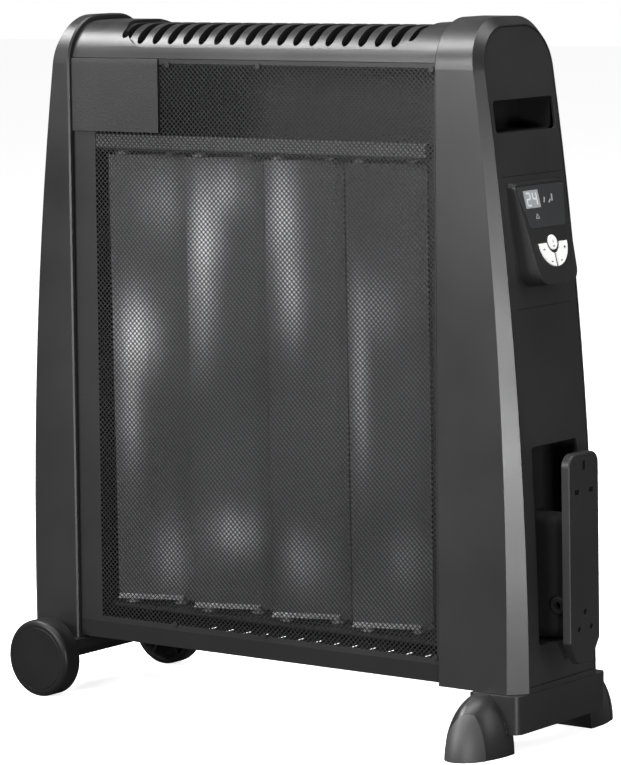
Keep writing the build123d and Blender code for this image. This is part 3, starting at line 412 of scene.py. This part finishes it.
# Darkest black for the matte parts, also used as painted shade inside the cord bay.
MATTE_AND_PAINTED_SHADE = Finish("matte_black", (0.004, 0.004, 0.004), (0.007, 0.007, 0.007), 0.75, grain_depth=0.2,
               specular=0.2, rub_amount=0.1)
STEEL_BLACK = Finish("black_steel", (0.008, 0.008, 0.0085), (0.012, 0.012, 0.0125), 0.42, specular=0.4,
                     grain_scale=650.0, grain_depth=0.22, edge_radius=0.2 * MM, rub_amount=0.15)
GRILLE_BLACK = Finish("grille_black", (0.007, 0.007, 0.0075), (0.010, 0.010, 0.0105), 0.42, specular=0.35,
                      grain_scale=650.0, grain_depth=0.15, edge_radius=0.1 * MM, rub_amount=0.05, dust=0.02)
RAIL_GREY = Finish("rail_grey", (0.075, 0.075, 0.077), (0.095, 0.095, 0.097), 0.42, specular=0.4,
                   grain_scale=650.0, grain_depth=0.2, edge_radius=0.2 * MM, rub_amount=0.15)
SCREW_BLACK = Finish("screw_black", (0.010, 0.010, 0.011), (0.014, 0.014, 0.015), 0.38, metallic=0.3,
                     grain_scale=900.0, edge_radius=0.2 * MM)
ZINC = SpangledZinc("zinc_steel", (0.022, 0.022, 0.023), (0.040, 0.040, 0.042), 0.5, metallic=0.6,
                    grain_scale=900.0, grain_depth=0.05, edge_radius=0.2 * MM, rub_amount=0.1)
# Same zinc as the uprights, painted far paler as the highlight along the panels' lower lip.
LIP_PAINTED_HIGHLIGHT = SpangledZinc("lip_zinc_painted_highlight", (0.24, 0.24, 0.245), (0.34, 0.34, 0.345), 0.4, metallic=0.4,
                        grain_scale=900.0, grain_depth=0.05, edge_radius=0.2 * MM)
# Mica sheet; its sheen colour is a painted highlight, a silvery reflection painted into the colour.
MICA = MicaFoil("mica_sheet", (0.048, 0.048, 0.050), (0.075, 0.075, 0.078), 0.45, roughness_spread=0.16,
                grain_scale=420.0, grain_depth=0.25, edge_radius=0.2 * MM, painted_sheen=(0.86, 0.86, 0.88))
CERAMIC = Finish("ceramic_white", (0.72, 0.70, 0.66), (0.64, 0.62, 0.58), 0.35, grain_depth=0.04,
                 rubbed=(0.5, 0.48, 0.45))
CERAMIC_GREY = Finish("ceramic_grey", (0.16, 0.155, 0.15), (0.22, 0.215, 0.205), 0.45, grain_depth=0.06)
COMPONENT = Finish("black_component", (0.012, 0.012, 0.013), (0.020, 0.020, 0.021), 0.5, grain_depth=0.08,
                   edge_radius=0.2 * MM)
BOARD = TrackedBoard("circuit_board", (0.012, 0.075, 0.030), (0.020, 0.12, 0.048), 0.32,
                     rubbed=(0.25, 0.35, 0.2), edge_radius=0.2 * MM)
KEY_WHITE = Finish("white_key", (0.86, 0.86, 0.85), (0.80, 0.80, 0.79), 0.34, grain_depth=0.03,
                   rubbed=(0.62, 0.61, 0.58), edge_radius=0.3 * MM, dust=0.0)
BRIGHT = Finish("bright_steel", (0.55, 0.55, 0.56), (0.46, 0.46, 0.47), 0.28, metallic=1.0,
                grain_scale=1200.0, grain_depth=0.04, rubbed=(0.7, 0.7, 0.7), edge_radius=0.2 * MM)
SLEEVE = Finish("lead_sleeve", (0.62, 0.60, 0.55), (0.50, 0.48, 0.44), 0.6, grain_scale=1500.0,
                grain_depth=0.3)
WHEEL = Finish("wheel_black", (0.005, 0.005, 0.0055), (0.008, 0.008, 0.0085), 0.38,
               grain_depth=0.08, specular=0.2)
RUBBER = Finish("foot_rubber", (0.024, 0.024, 0.025), (0.032, 0.032, 0.033), 0.5, grain_depth=0.16)
PRINT = Finish("key_print", (0.05, 0.05, 0.055), (0.07, 0.07, 0.075), 0.5, edge_radius=0.02 * MM, dust=0.0)
LENS = Finish("smoked_lens", (0.020, 0.021, 0.023), (0.026, 0.027, 0.029), 0.12, roughness_spread=0.04,
              grain_depth=0.01, coat=0.6, edge_radius=0.3 * MM)
GLASS_LIT = Finish("display_grey", (0.30, 0.31, 0.32), (0.25, 0.26, 0.27), 0.35, grain_depth=0.02,
                   edge_radius=0.02 * MM, dust=0.0)
DIGIT = Finish("display_digit", (0.62, 0.64, 0.66), (0.56, 0.58, 0.60), 0.35, grain_depth=0.02,
               edge_radius=0.02 * MM, dust=0.0)

CAD_FINISHES: dict[Finish, tuple[str, ...]] = {
    MOULDED: ("left_casing", "right_casing", "top_cover", "foot_beam", "control_pod"),
    SATIN: ("left_end_plate", "right_end_plate", "cord_wrap_plate"),
    # The cord_bay_tray's darkest black is painted shade in the cord bay's recess.
    MATTE_AND_PAINTED_SHADE: ("grip_liner", "cord_bay_tray", "cord_wrap_stem", "wheel_bracket", "cord_gland",
            "front_lower_rail", "rear_lower_rail"),
    # The air_baffle is a black sheet set where the heater's inside is only in shade: painted shade.
    STEEL_BLACK: ("corner_plate", "rear_cross_rail", "base_pan", "air_baffle"),
    ZINC: ("left_upright", "right_upright", "upper_hanger", "lower_hanger", "earth_tabs", "partition"),
    CERAMIC: ("terminal_block",),
    CERAMIC_GREY: ("insulator_posts",),
    LENS: ("display_window",),
    COMPONENT: ("display_module", "board_parts", "tip_microswitch", "key_switches"),
    BOARD: ("key_board", "main_board"),
    KEY_WHITE: ("power_key", "minus_key", "plus_key"),
    BRIGHT: ("board_posts", "wheel_axle", "axle_clips", "foot_screws", "thermal_cutout",
             "tip_switch_bracket", "tip_switch_pendulum"),
    RAIL_GREY: ("front_cross_rail",),
    SCREW_BLACK: ("grille_screws",),
    SLEEVE: ("wiring_harness",),
    WHEEL: ("front_wheel", "rear_wheel", "front_hub_cap", "rear_hub_cap"),
    RUBBER: ("front_foot_pad", "rear_foot_pad"),
}


def dress_frame() -> None:
    """Give every carried-over node its finish."""
    for finish, names in CAD_FINISHES.items():
        material = finish.build()
        for name in names:
            node = frame["nodes"][name]
            for place in node.material_slots:
                place.material = material
            if not node.material_slots:
                node.data.materials.append(material)
            LOG.info("%s: %s", name, finish.name)


# ---------------------------------------------------------------- mesh tools


def make_piece(bm: bmesh.types.BMesh, name: str, finish: Finish, body: str,
               replaces: Iterable[str] = (), smooth: bool = True) -> bpy.types.Object:
    """Turn a bmesh into a piece that rides on a body.

    Args:
        bm: The mesh, in metres and in its place. It is freed.
        name: Name of the piece.
        finish: Its finish.
        body: CAD body that it moves with.
        replaces: CAD nodes that it stands for.
        smooth: Whether its faces are shaded smooth, with edges over 30 degrees kept sharp.

    Returns:
        The new object.
    """
    bmesh.ops.recalc_face_normals(bm, faces=bm.faces)
    mesh = bpy.data.meshes.new(name)
    bm.to_mesh(mesh)
    bm.free()
    if smooth:
        mesh.shade_smooth()
        mesh.set_sharp_from_angle(angle=SHARP_ANGLE)
    mesh.materials.append(finish.build())
    piece = bpy.data.objects.new(name, mesh)
    bpy.context.scene.collection.objects.link(piece)
    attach(piece, body)
    if replaces:
        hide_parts(*replaces)
    LOG.info("%s: %d faces on %s", name, len(mesh.polygons), body)
    return piece


def add_bar(bm: bmesh.types.BMesh, size: Colour, place: Matrix, bevel: float, segments: int = 2) -> None:
    """Add a bar with rounded edges.

    Args:
        bm: Mesh to add it to.
        size: Its three lengths.
        place: Where its middle goes and how it is turned.
        bevel: Width of the rounding.
        segments: Number of steps in the rounding.
    """
    made = bmesh.ops.create_cube(bm, size=1.0, matrix=place @ Matrix.Diagonal((*size, 1.0)))
    edges = list({edge for vertex in made["verts"] for edge in vertex.link_edges})
    bmesh.ops.bevel(bm, geom=edges, offset=bevel, segments=segments, profile=0.5, affect="EDGES",
                    material=-1)


# ---------------------------------------------------------------- grilles


@dataclass
class Grille:
    """Perforated steel sheet with plain margins, pressed flat against the heater's sloping face."""

    node: str
    label: str
    sheet: float = 0.7 * MM
    left_margin: float = 31.0 * MM
    right_margin: float = 9.0 * MM
    low_margin: float = 5.0 * MM
    high_margin: float = 4.0 * MM
    pitch_across: float = 5.0 * MM
    pitch_up: float = 4.7 * MM
    strand: float = 0.095
    bands: tuple[str, ...] = ("lower", "middle", "upper")

    def __post_init__(self) -> None:
        """Read the sheet's place from the frame."""
        self.low, self.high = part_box(self.node)
        self.faces_front = self.low.y < -self.high.y

    def outer_y(self, height: float) -> float:
        """Depth of the sheet's outer face at a height."""
        share = (height - self.low.z) / (self.high.z - self.low.z)
        if self.faces_front:
            return self.low.y + share * (self.high.y - self.sheet - self.low.y)
        return self.high.y + share * (self.low.y + self.sheet - self.high.y)

    def field(self) -> tuple[float, float, float, float]:
        """Limits of the perforated field: left, right, low and high."""
        return (self.low.x + self.left_margin, self.high.x - self.right_margin,
                self.low.z + self.low_margin, self.high.z - self.high_margin)

    def trim(self, bm: bmesh.types.BMesh, limits: tuple[float, float, float, float]) -> None:
        """Cut a flat mesh, drawn in X and Z, to a rectangle."""
        left, right, low, high = limits
        planes = (((left, 0, 0), (-1, 0, 0)), ((right, 0, 0), (1, 0, 0)),
                  ((0, 0, low), (0, 0, -1)), ((0, 0, high), (0, 0, 1)))
        for point, normal in planes:
            geometry = bm.verts[:] + bm.edges[:] + bm.faces[:]
            bmesh.ops.bisect_plane(bm, geom=geometry, dist=CUT_TOLERANCE, plane_co=point, plane_no=normal,
                                   clear_outer=True)

    def stand(self, bm: bmesh.types.BMesh) -> None:
        """Lay a flat mesh on the sloping face and give it the sheet's thickness."""
        bmesh.ops.recalc_face_normals(bm, faces=bm.faces)
        inward = 1.0 if self.faces_front else -1.0
        bmesh.ops.solidify(bm, geom=bm.faces[:], thickness=self.sheet)
        depths = [vertex.co.y for vertex in bm.verts]
        shift = -min(depths) if inward > 0 else -max(depths)
        for vertex in bm.verts:
            vertex.co.y += shift + self.outer_y(vertex.co.z)

    def lattice(self) -> bmesh.types.BMesh:
        """Flat staggered lattice of diamond holes over the whole field.

        Returns:
            A mesh in the X and Z plane.
        """
        left, right, low, high = self.field()
        width, height = right - left, high - low
        cell = 1.0 / math.sqrt(2.0)
        half = (width / self.pitch_across + height / self.pitch_up) / 2 + 2
        count = math.ceil(2 * half / math.sqrt(2.0) / cell)
        bm = bmesh.new()
        bmesh.ops.create_grid(bm, x_segments=count, y_segments=count, size=count * cell / 2)
        quarter = Matrix.Rotation(math.radians(45), 3, "Z")
        bmesh.ops.rotate(bm, verts=bm.verts, cent=(0, 0, 0), matrix=quarter)
        reach_x = width / self.pitch_across / 2 + 1.5
        reach_y = height / self.pitch_up / 2 + 1.5
        middles = {face: face.calc_center_median() for face in bm.faces}
        spare = [face for face, spot in middles.items() if abs(spot.x) > reach_x or abs(spot.y) > reach_y]
        bmesh.ops.delete(bm, geom=spare, context="FACES")
        cells = bm.faces[:]
        bmesh.ops.inset_individual(bm, faces=cells, thickness=self.strand * cell, use_even_offset=True)
        bmesh.ops.delete(bm, geom=cells, context="FACES_ONLY")
        bmesh.ops.scale(bm, vec=(self.pitch_across, self.pitch_up, 1.0), verts=bm.verts)
        bmesh.ops.rotate(bm, verts=bm.verts, cent=(0, 0, 0), matrix=UPRIGHT_TURN)
        bmesh.ops.translate(bm, vec=((left + right) / 2, 0, (low + high) / 2), verts=bm.verts)
        return bm

    def build_fields(self) -> None:
        """Make the perforated field, as one piece for each band of its height."""
        left, right, low, high = self.field()
        step = (high - low) / len(self.bands)
        lattice = self.lattice()
        for index, part in enumerate(self.bands):
            bm = lattice.copy()
            self.trim(bm, (left, right, low + index * step, low + (index + 1) * step))
            self.stand(bm)
            make_piece(bm, f"{self.label}_mesh_{part}", GRILLE_BLACK, "heater", smooth=False)
        lattice.free()

    def build_margin(self) -> None:
        """Make the plain margin round the field."""
        left, right, low, high = self.field()
        bm = bmesh.new()
        bmesh.ops.create_grid(bm, x_segments=1, y_segments=1, size=1.0)
        bmesh.ops.rotate(bm, verts=bm.verts, cent=(0, 0, 0), matrix=UPRIGHT_TURN)
        self.trim(bm, (self.low.x, self.high.x, self.low.z, self.high.z))
        for point, normal in (((left, 0, 0), (1, 0, 0)), ((right, 0, 0), (1, 0, 0)),
                              ((0, 0, low), (0, 0, 1)), ((0, 0, high), (0, 0, 1))):
            geometry = bm.verts[:] + bm.edges[:] + bm.faces[:]
            bmesh.ops.bisect_plane(bm, geom=geometry, dist=CUT_TOLERANCE, plane_co=point, plane_no=normal)
        middles = {face: face.calc_center_median() for face in bm.faces}
        inner = [face for face, spot in middles.items() if left < spot.x < right and low < spot.z < high]
        bmesh.ops.delete(bm, geom=inner, context="FACES")
        self.stand(bm)
        make_piece(bm, f"{self.label}_margin", GRILLE_BLACK, "heater", (self.node,),
                   smooth=False)

    def build(self) -> None:
        """Make the whole sheet."""
        self.build_fields()
        self.build_margin()


# ---------------------------------------------------------------- mica panels


@dataclass(frozen=True)
class PaintedHighlight:
    """Soft painted highlight on a mica panel: a patch of reflection painted into its colour."""

    across: float
    up: float
    width: float
    height: float
    strength: float

    def value(self, across: float, up: float) -> float:
        """Strength of the painted highlight at a point, across from -1 to 1 and up from 0 to 1."""
        distance = ((across - self.across) / self.width) ** 2 + ((up - self.up) / self.height) ** 2
        return self.strength * math.exp(-distance)


# Painted highlights on each mica panel, by panel number.
PAINTED_HIGHLIGHTS: dict[int, tuple[PaintedHighlight, ...]] = {
    1: (
        PaintedHighlight(-0.37, 0.60, 0.50, 0.08, 0.80),
        PaintedHighlight(-0.60, 0.47, 0.28, 0.14, 0.50),
        PaintedHighlight(0.35, 0.90, 0.50, 0.07, 0.30),
        PaintedHighlight(0.45, 0.10, 0.45, 0.07, 0.28),
    ),
    2: (
        PaintedHighlight(-0.50, 0.84, 0.38, 0.10, 0.75),
        PaintedHighlight(-0.62, 0.70, 0.30, 0.12, 0.65),
        PaintedHighlight(0.10, 0.93, 0.50, 0.05, 0.40),
        PaintedHighlight(0.05, 0.17, 0.60, 0.05, 0.45),
    ),
    3: (
        PaintedHighlight(-0.55, 0.87, 0.34, 0.12, 0.75),
        PaintedHighlight(-0.38, 0.71, 0.28, 0.10, 0.50),
        PaintedHighlight(-0.20, 0.13, 0.50, 0.06, 0.28),
    ),
    4: (
        PaintedHighlight(-0.70, 0.53, 0.18, 0.15, 0.42),
        PaintedHighlight(-0.40, 0.69, 0.55, 0.07, 0.22),
        PaintedHighlight(0.45, 0.15, 0.50, 0.06, 0.15),
    ),
}


@dataclass
class MicaPanel:
    """Heating panel: a thin wavy mica sheet with a folded strip along its foot."""

    number: int
    width: float = 74.5 * MM
    wall: float = 3.0 * MM
    lip: float = 5.0 * MM
    lip_offset: float = 5.0 * MM
    lip_short: float = 11.0 * MM
    lip_wall: float = 1.6 * MM
    lip_rise: float = 1.2 * MM
    fold_height: float = 3.0 * MM
    fold_wall: float = 1.2 * MM
    fold_depth: float = 1.0 * MM
    lip_bevel: float = 0.4 * MM
    yaw: float = math.radians(20.0)
    wave: float = 0.8 * MM
    steps_across: int = 20
    steps_up: int = 90

    def __post_init__(self) -> None:
        """Read the panel's place from the frame."""
        low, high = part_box(f"mica_panel_{self.number}")
        half = self.width / 2
        across = (low.x + high.x) / 2 + self.wall / 2 * math.sin(self.yaw)
        depth = high.y - half * math.sin(self.yaw) - self.wall * math.cos(self.yaw)
        self.foot, self.top = low.z, high.z
        self.place = Matrix.Translation((across, depth, 0)) @ Matrix.Rotation(self.yaw, 4, "Z")

    def ripple(self, across: float, up: float) -> float:
        """How far the sheet bows back at a point, across from -1 to 1 and up from 0 to 1."""
        turn = 1.7 * self.number
        wide = math.sin(2.3 * math.pi * up + turn) * math.cos(1.1 * across + turn)
        fine = 0.35 * math.sin(7.1 * math.pi * up + 2.1 * across + turn)
        held = (1 - across**2) * math.sin(math.pi * min(max(up, 0.0), 1.0)) ** 0.5
        return self.wave * (0.5 + 0.5 * (wide + fine)) * held

    def build_sheet(self) -> None:
        """Make the wavy sheet and store the strength of its painted highlight on each vertex."""
        bm = bmesh.new()
        bmesh.ops.create_grid(bm, x_segments=self.steps_across, y_segments=self.steps_up, size=1.0)
        height = self.top - self.foot
        for vertex in bm.verts:
            across, up = vertex.co.x, (vertex.co.y + 1) / 2
            vertex.co = (across * self.width / 2, self.ripple(across, up), self.foot + up * height)
        bmesh.ops.recalc_face_normals(bm, faces=bm.faces)
        bmesh.ops.solidify(bm, geom=bm.faces[:], thickness=self.wall / 2)
        # Painted highlight: each vertex stores how strongly the reflection patches are painted there.
        shine = bm.verts.layers.float.new("painted_sheen")
        for vertex in bm.verts:
            across, up = 2 * vertex.co.x / self.width, (vertex.co.z - self.foot) / height
            vertex[shine] = sum(patch.value(across, up) for patch in PAINTED_HIGHLIGHTS[self.number])
        bmesh.ops.transform(bm, matrix=self.place, verts=bm.verts)
        make_piece(bm, f"mica_sheet_{self.number}", MICA, "heater",
                   (f"mica_panel_{self.number}",))

    def build_lip(self) -> None:
        """Make the folded strip along the sheet's lower edge, painted pale as a highlight."""
        bm = bmesh.new()
        run = self.width - self.lip_short
        strip = Matrix.Translation((-self.lip_offset, -self.lip / 2, self.foot + self.lip_rise))
        add_bar(bm, (run, self.lip * 0.9, self.lip_wall), self.place @ strip, self.lip_bevel)
        fold = Matrix.Translation((-self.lip_offset, -self.fold_depth, self.foot + self.fold_height))
        add_bar(bm, (run, self.fold_wall, self.fold_height), self.place @ fold, self.lip_bevel)
        make_piece(bm, f"mica_lip_{self.number}", LIP_PAINTED_HIGHLIGHT, "heater")

    def build(self) -> None:
        """Make the whole panel."""
        self.build_sheet()
        self.build_lip()


# ---------------------------------------------------------------- pod face


SEGMENT_ENDS = {
    "top": ((-1, 2), (1, 2)), "middle": ((-1, 0), (1, 0)), "bottom": ((-1, -2), (1, -2)),
    "upper_left": ((-1, 0), (-1, 2)), "upper_right": ((1, 0), (1, 2)),
    "lower_left": ((-1, -2), (-1, 0)), "lower_right": ((1, -2), (1, 0)),
}
DIGITS = {
    2: ("top", "upper_right", "middle", "lower_left", "bottom"),
    4: ("upper_left", "upper_right", "middle", "lower_right"),
}


Stroke = tuple[tuple[float, float], tuple[float, float]]
KEY_MARKS: dict[str, tuple[Stroke, ...]] = {
    "power_key": (((0.0, -7.6), (0.0, -5.6)), ((-1.6, -10.6), (1.6, -10.6))),
    "minus_key": (((-17.0, -12.5), (-14.0, -12.5)), ((-8.5, -23.5), (-6.0, -23.5))),
    "plus_key": (((14.0, -12.5), (17.0, -12.5)), ((15.5, -14.0), (15.5, -11.0)),
                 ((6.0, -23.5), (8.5, -23.5))),
}
HEAT_MARKS: tuple[tuple[Stroke, float], ...] = (
    (((1.0, 28.0), (3.0, 32.5)), 1.8),
    (((8.0, 27.5), (11.5, 30.0)), 1.6),
    (((13.5, 28.5), (14.5, 34.5)), 2.0),
)
TRIANGLE: tuple[Stroke, ...] = (
    ((-15.5, 15.0), (-13.0, 19.0)),
    ((-13.0, 19.0), (-10.5, 15.0)),
    ((-15.5, 15.0), (-10.5, 15.0)),
)


@dataclass
class PodFace:
    """Printed and lit details on the tilted face of the control pod."""

    window_bottom: float = 6.7 * MM
    face_middle: float = 444.0 * MM
    print_wall: float = 0.12 * MM
    key_proud: float = 1.0 * MM
    screen_across: float = -16.0
    screen_up: float = 32.0
    screen_size: tuple[float, float] = (22.0 * MM, 15.5 * MM)
    screen_bevel: float = 0.05 * MM
    digit_places: tuple[tuple[int, float], ...] = ((2, -21.0), (4, -11.5))
    digit_step: tuple[float, float] = (2.6, 2.7)
    digit_width: float = 1.5
    mark_width: float = 0.9

    def __post_init__(self) -> None:
        """Read the face's place from the display window and its tilt from the key's joint."""
        press = next(joint for joint in frame["joints"] if joint["name"] == "power_key_press")
        normal = -Vector(press["axis"])
        up = Vector((-normal.z, 0.0, normal.x))
        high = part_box("display_window")[1]
        origin = Vector((high.x + normal.z * self.window_bottom, 0.0, self.face_middle))
        turn = Matrix((Vector((0, 1, 0)), up, normal)).transposed().to_4x4()
        self.plane = Matrix.Translation(origin) @ turn

    def bar(self, bm: bmesh.types.BMesh, start: tuple[float, float], end: tuple[float, float],
            width: float, lift: float) -> None:
        """Add a short printed stroke between two points of the face, in millimetres.

        Args:
            bm: Mesh to add it to.
            start: One end of the stroke.
            end: The other end.
            width: Width of the stroke.
            lift: Height of its underside above the face.
        """
        run = Vector((*end, 0)) - Vector((*start, 0))
        middle = (Vector((*start, 0)) + Vector((*end, 0))) / 2 * MM
        turn = Matrix.Rotation(math.atan2(run.y, run.x), 4, "Z")
        place = self.plane @ Matrix.Translation((middle.x, middle.y, lift + self.print_wall / 2)) @ turn
        size = (run.length * MM, width * MM, self.print_wall)
        add_bar(bm, size, place, self.print_wall * 0.3, 1)

    def build_screen(self) -> None:
        """Make the lit panel of the display with its two digits."""
        bm = bmesh.new()
        centre = Vector((self.screen_across * MM, self.screen_up * MM, self.print_wall / 2))
        place = self.plane @ Matrix.Translation(centre)
        add_bar(bm, (*self.screen_size, self.print_wall), place, self.screen_bevel, 1)
        make_piece(bm, "display_screen", GLASS_LIT, "heater")
        bm = bmesh.new()
        step_x, step_y = self.digit_step
        for value, centre_x in self.digit_places:
            for name in DIGITS[value]:
                ends = [(centre_x + step_x * x, self.screen_up + step_y * y) for x, y in SEGMENT_ENDS[name]]
                self.bar(bm, ends[0], ends[1], self.digit_width, self.print_wall)
        make_piece(bm, "display_digits", DIGIT, "heater")

    def build_icons(self) -> None:
        """Make the small plain marks beside and below the digits."""
        bm = bmesh.new()
        for (start, end), width in HEAT_MARKS:
            self.bar(bm, start, end, width, 0.0)
        for start, end in TRIANGLE:
            self.bar(bm, start, end, self.mark_width, 0.0)
        make_piece(bm, "display_icons", GLASS_LIT, "heater")

    def build_key_marks(self) -> None:
        """Make the generic marks printed on the keys."""
        for body, strokes in KEY_MARKS.items():
            bm = bmesh.new()
            for start, end in strokes:
                self.bar(bm, start, end, self.mark_width, self.key_proud)
            make_piece(bm, f"{body}_mark", PRINT, body)

    def build(self) -> None:
        """Make everything on the face."""
        self.build_screen()
        self.build_icons()
        self.build_key_marks()


# ---------------------------------------------------------------- room, light and camera


@dataclass(frozen=True)
class Lamp:
    """Soft box: its place, what it faces, its width and height in metres, and its power in watts."""

    name: str
    place: Colour
    target: Colour
    size: tuple[float, float]
    power: float

    def build(self) -> None:
        """Hang the soft box."""
        place, target = Vector(self.place), Vector(self.target)
        data = bpy.data.lights.new(self.name, "AREA")
        data.shape = "RECTANGLE"
        data.size, data.size_y = self.size
        data.energy = self.power
        lamp = bpy.data.objects.new(self.name, data)
        turn = (place - target).to_track_quat("Z", "Y").to_matrix().to_4x4()
        lamp.matrix_world = Matrix.Translation(place) @ turn
        bpy.context.scene.collection.objects.link(lamp)


MIDDLE = (0.0, 0.0, 0.35)
LAMPS = (
    Lamp("key_light", (-0.9, -2.5, 1.1), MIDDLE, (0.9, 0.7), 68.0),
    Lamp("panel_light", (0.55, -2.5, 1.5), MIDDLE, (0.8, 0.8), 30.0),
    Lamp("top_light", (0.3, -0.2, 2.8), MIDDLE, (2.6, 1.8), 95.0),
    Lamp("band_light", (-1.3, -0.75, 2.0), (0.0, 0.0, 0.6), (1.5, 0.5), 60.0),
    Lamp("rim_light", (2.6, 1.0, 1.3), MIDDLE, (0.8, 1.8), 16.0),
    Lamp("corner_light", (2.05, -1.55, 0.15), (0.25, -0.05, 0.15), (0.3, 0.4), 42.0),
)


@dataclass
class Studio:
    """Plain pale floor, soft light and the camera."""

    camera_place: Vector = Vector((2.1322, -2.7675, 0.7450))
    azimuth: float = math.radians(37.632)
    elevation: float = math.radians(7.271)
    roll: float = math.radians(-1.075)
    lens: float = 183.52
    clip_end: float = 60.0
    floor_half: float = 12.0
    floor_glow: float = 0.82
    room_strength: float = 0.14

    def build_camera(self) -> None:
        """Stand the camera where it sees the front and the control end."""
        back = Vector((math.sin(self.azimuth) * math.cos(self.elevation),
                       -math.cos(self.azimuth) * math.cos(self.elevation), math.sin(self.elevation)))
        right = Vector((math.cos(self.azimuth), math.sin(self.azimuth), 0.0))
        up = back.cross(right)
        side = math.cos(self.roll) * right + math.sin(self.roll) * up
        head = -math.sin(self.roll) * right + math.cos(self.roll) * up
        data = bpy.data.cameras.new("camera")
        data.lens = self.lens
        data.clip_end = self.clip_end
        camera = bpy.data.objects.new("camera", data)
        camera.matrix_world = Matrix.Translation(self.camera_place) @ \
            Matrix((side, head, back)).transposed().to_4x4()
        bpy.context.scene.collection.objects.link(camera)
        bpy.context.scene.camera = camera

    def build_floor(self) -> None:
        """Lay a wide pale floor."""
        bm = bmesh.new()
        bmesh.ops.create_grid(bm, x_segments=4, y_segments=4, size=self.floor_half)
        mesh = bpy.data.meshes.new("floor")
        bm.to_mesh(mesh)
        bm.free()
        material = bpy.data.materials.new("pale_floor")
        material.use_nodes = True
        shader = material.node_tree.nodes["Principled BSDF"]
        graph = Graph(material.node_tree)
        tone = graph.blend(graph.object_noise(0.8, 2.0), (0.90, 0.90, 0.90), (0.94, 0.94, 0.94))
        seen = graph.add("ShaderNodeLightPath").outputs["Is Camera Ray"]
        graph.join(graph.blend(seen, (0.12, 0.12, 0.12), tone), shader.inputs["Base Color"])
        graph.join(graph.ramp(seen, 0.0, 1.0, 0.0, self.floor_glow), shader.inputs["Emission Strength"])
        shader.inputs["Emission Color"].default_value = WHITE
        shader.inputs["Roughness"].default_value = 0.9
        shader.inputs["Specular IOR Level"].default_value = 0.0
        mesh.materials.append(material)
        floor = bpy.data.objects.new("floor", mesh)
        bpy.context.scene.collection.objects.link(floor)

    def build_light(self) -> None:
        """Hang the lamps and fill the room with a faint even light that the camera sees as white."""
        for lamp in LAMPS:
            lamp.build()
        world = bpy.data.worlds.new("studio")
        world.use_nodes = True
        background = world.node_tree.nodes["Background"]
        graph = Graph(world.node_tree)
        seen = graph.add("ShaderNodeLightPath").outputs["Is Camera Ray"]
        background.inputs["Color"].default_value = WHITE
        strength = graph.ramp(seen, 0.0, 1.0, self.room_strength, 1.0)
        graph.join(strength, background.inputs["Strength"])
        bpy.context.scene.world = world

    def build(self) -> None:
        """Set up the whole studio."""
        self.build_camera()
        self.build_floor()
        self.build_light()
        bpy.context.scene.view_settings.view_transform = "Standard"


def main() -> None:
    """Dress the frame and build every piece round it."""
    Studio().build()
    dress_frame()
    Grille("front_grille", "front_grille").build()
    Grille("rear_grille", "rear_grille").build()
    for number in sorted(PAINTED_HIGHLIGHTS):
        MicaPanel(number).build()
    PodFace().build()


if __name__ == "__main__":
    main()
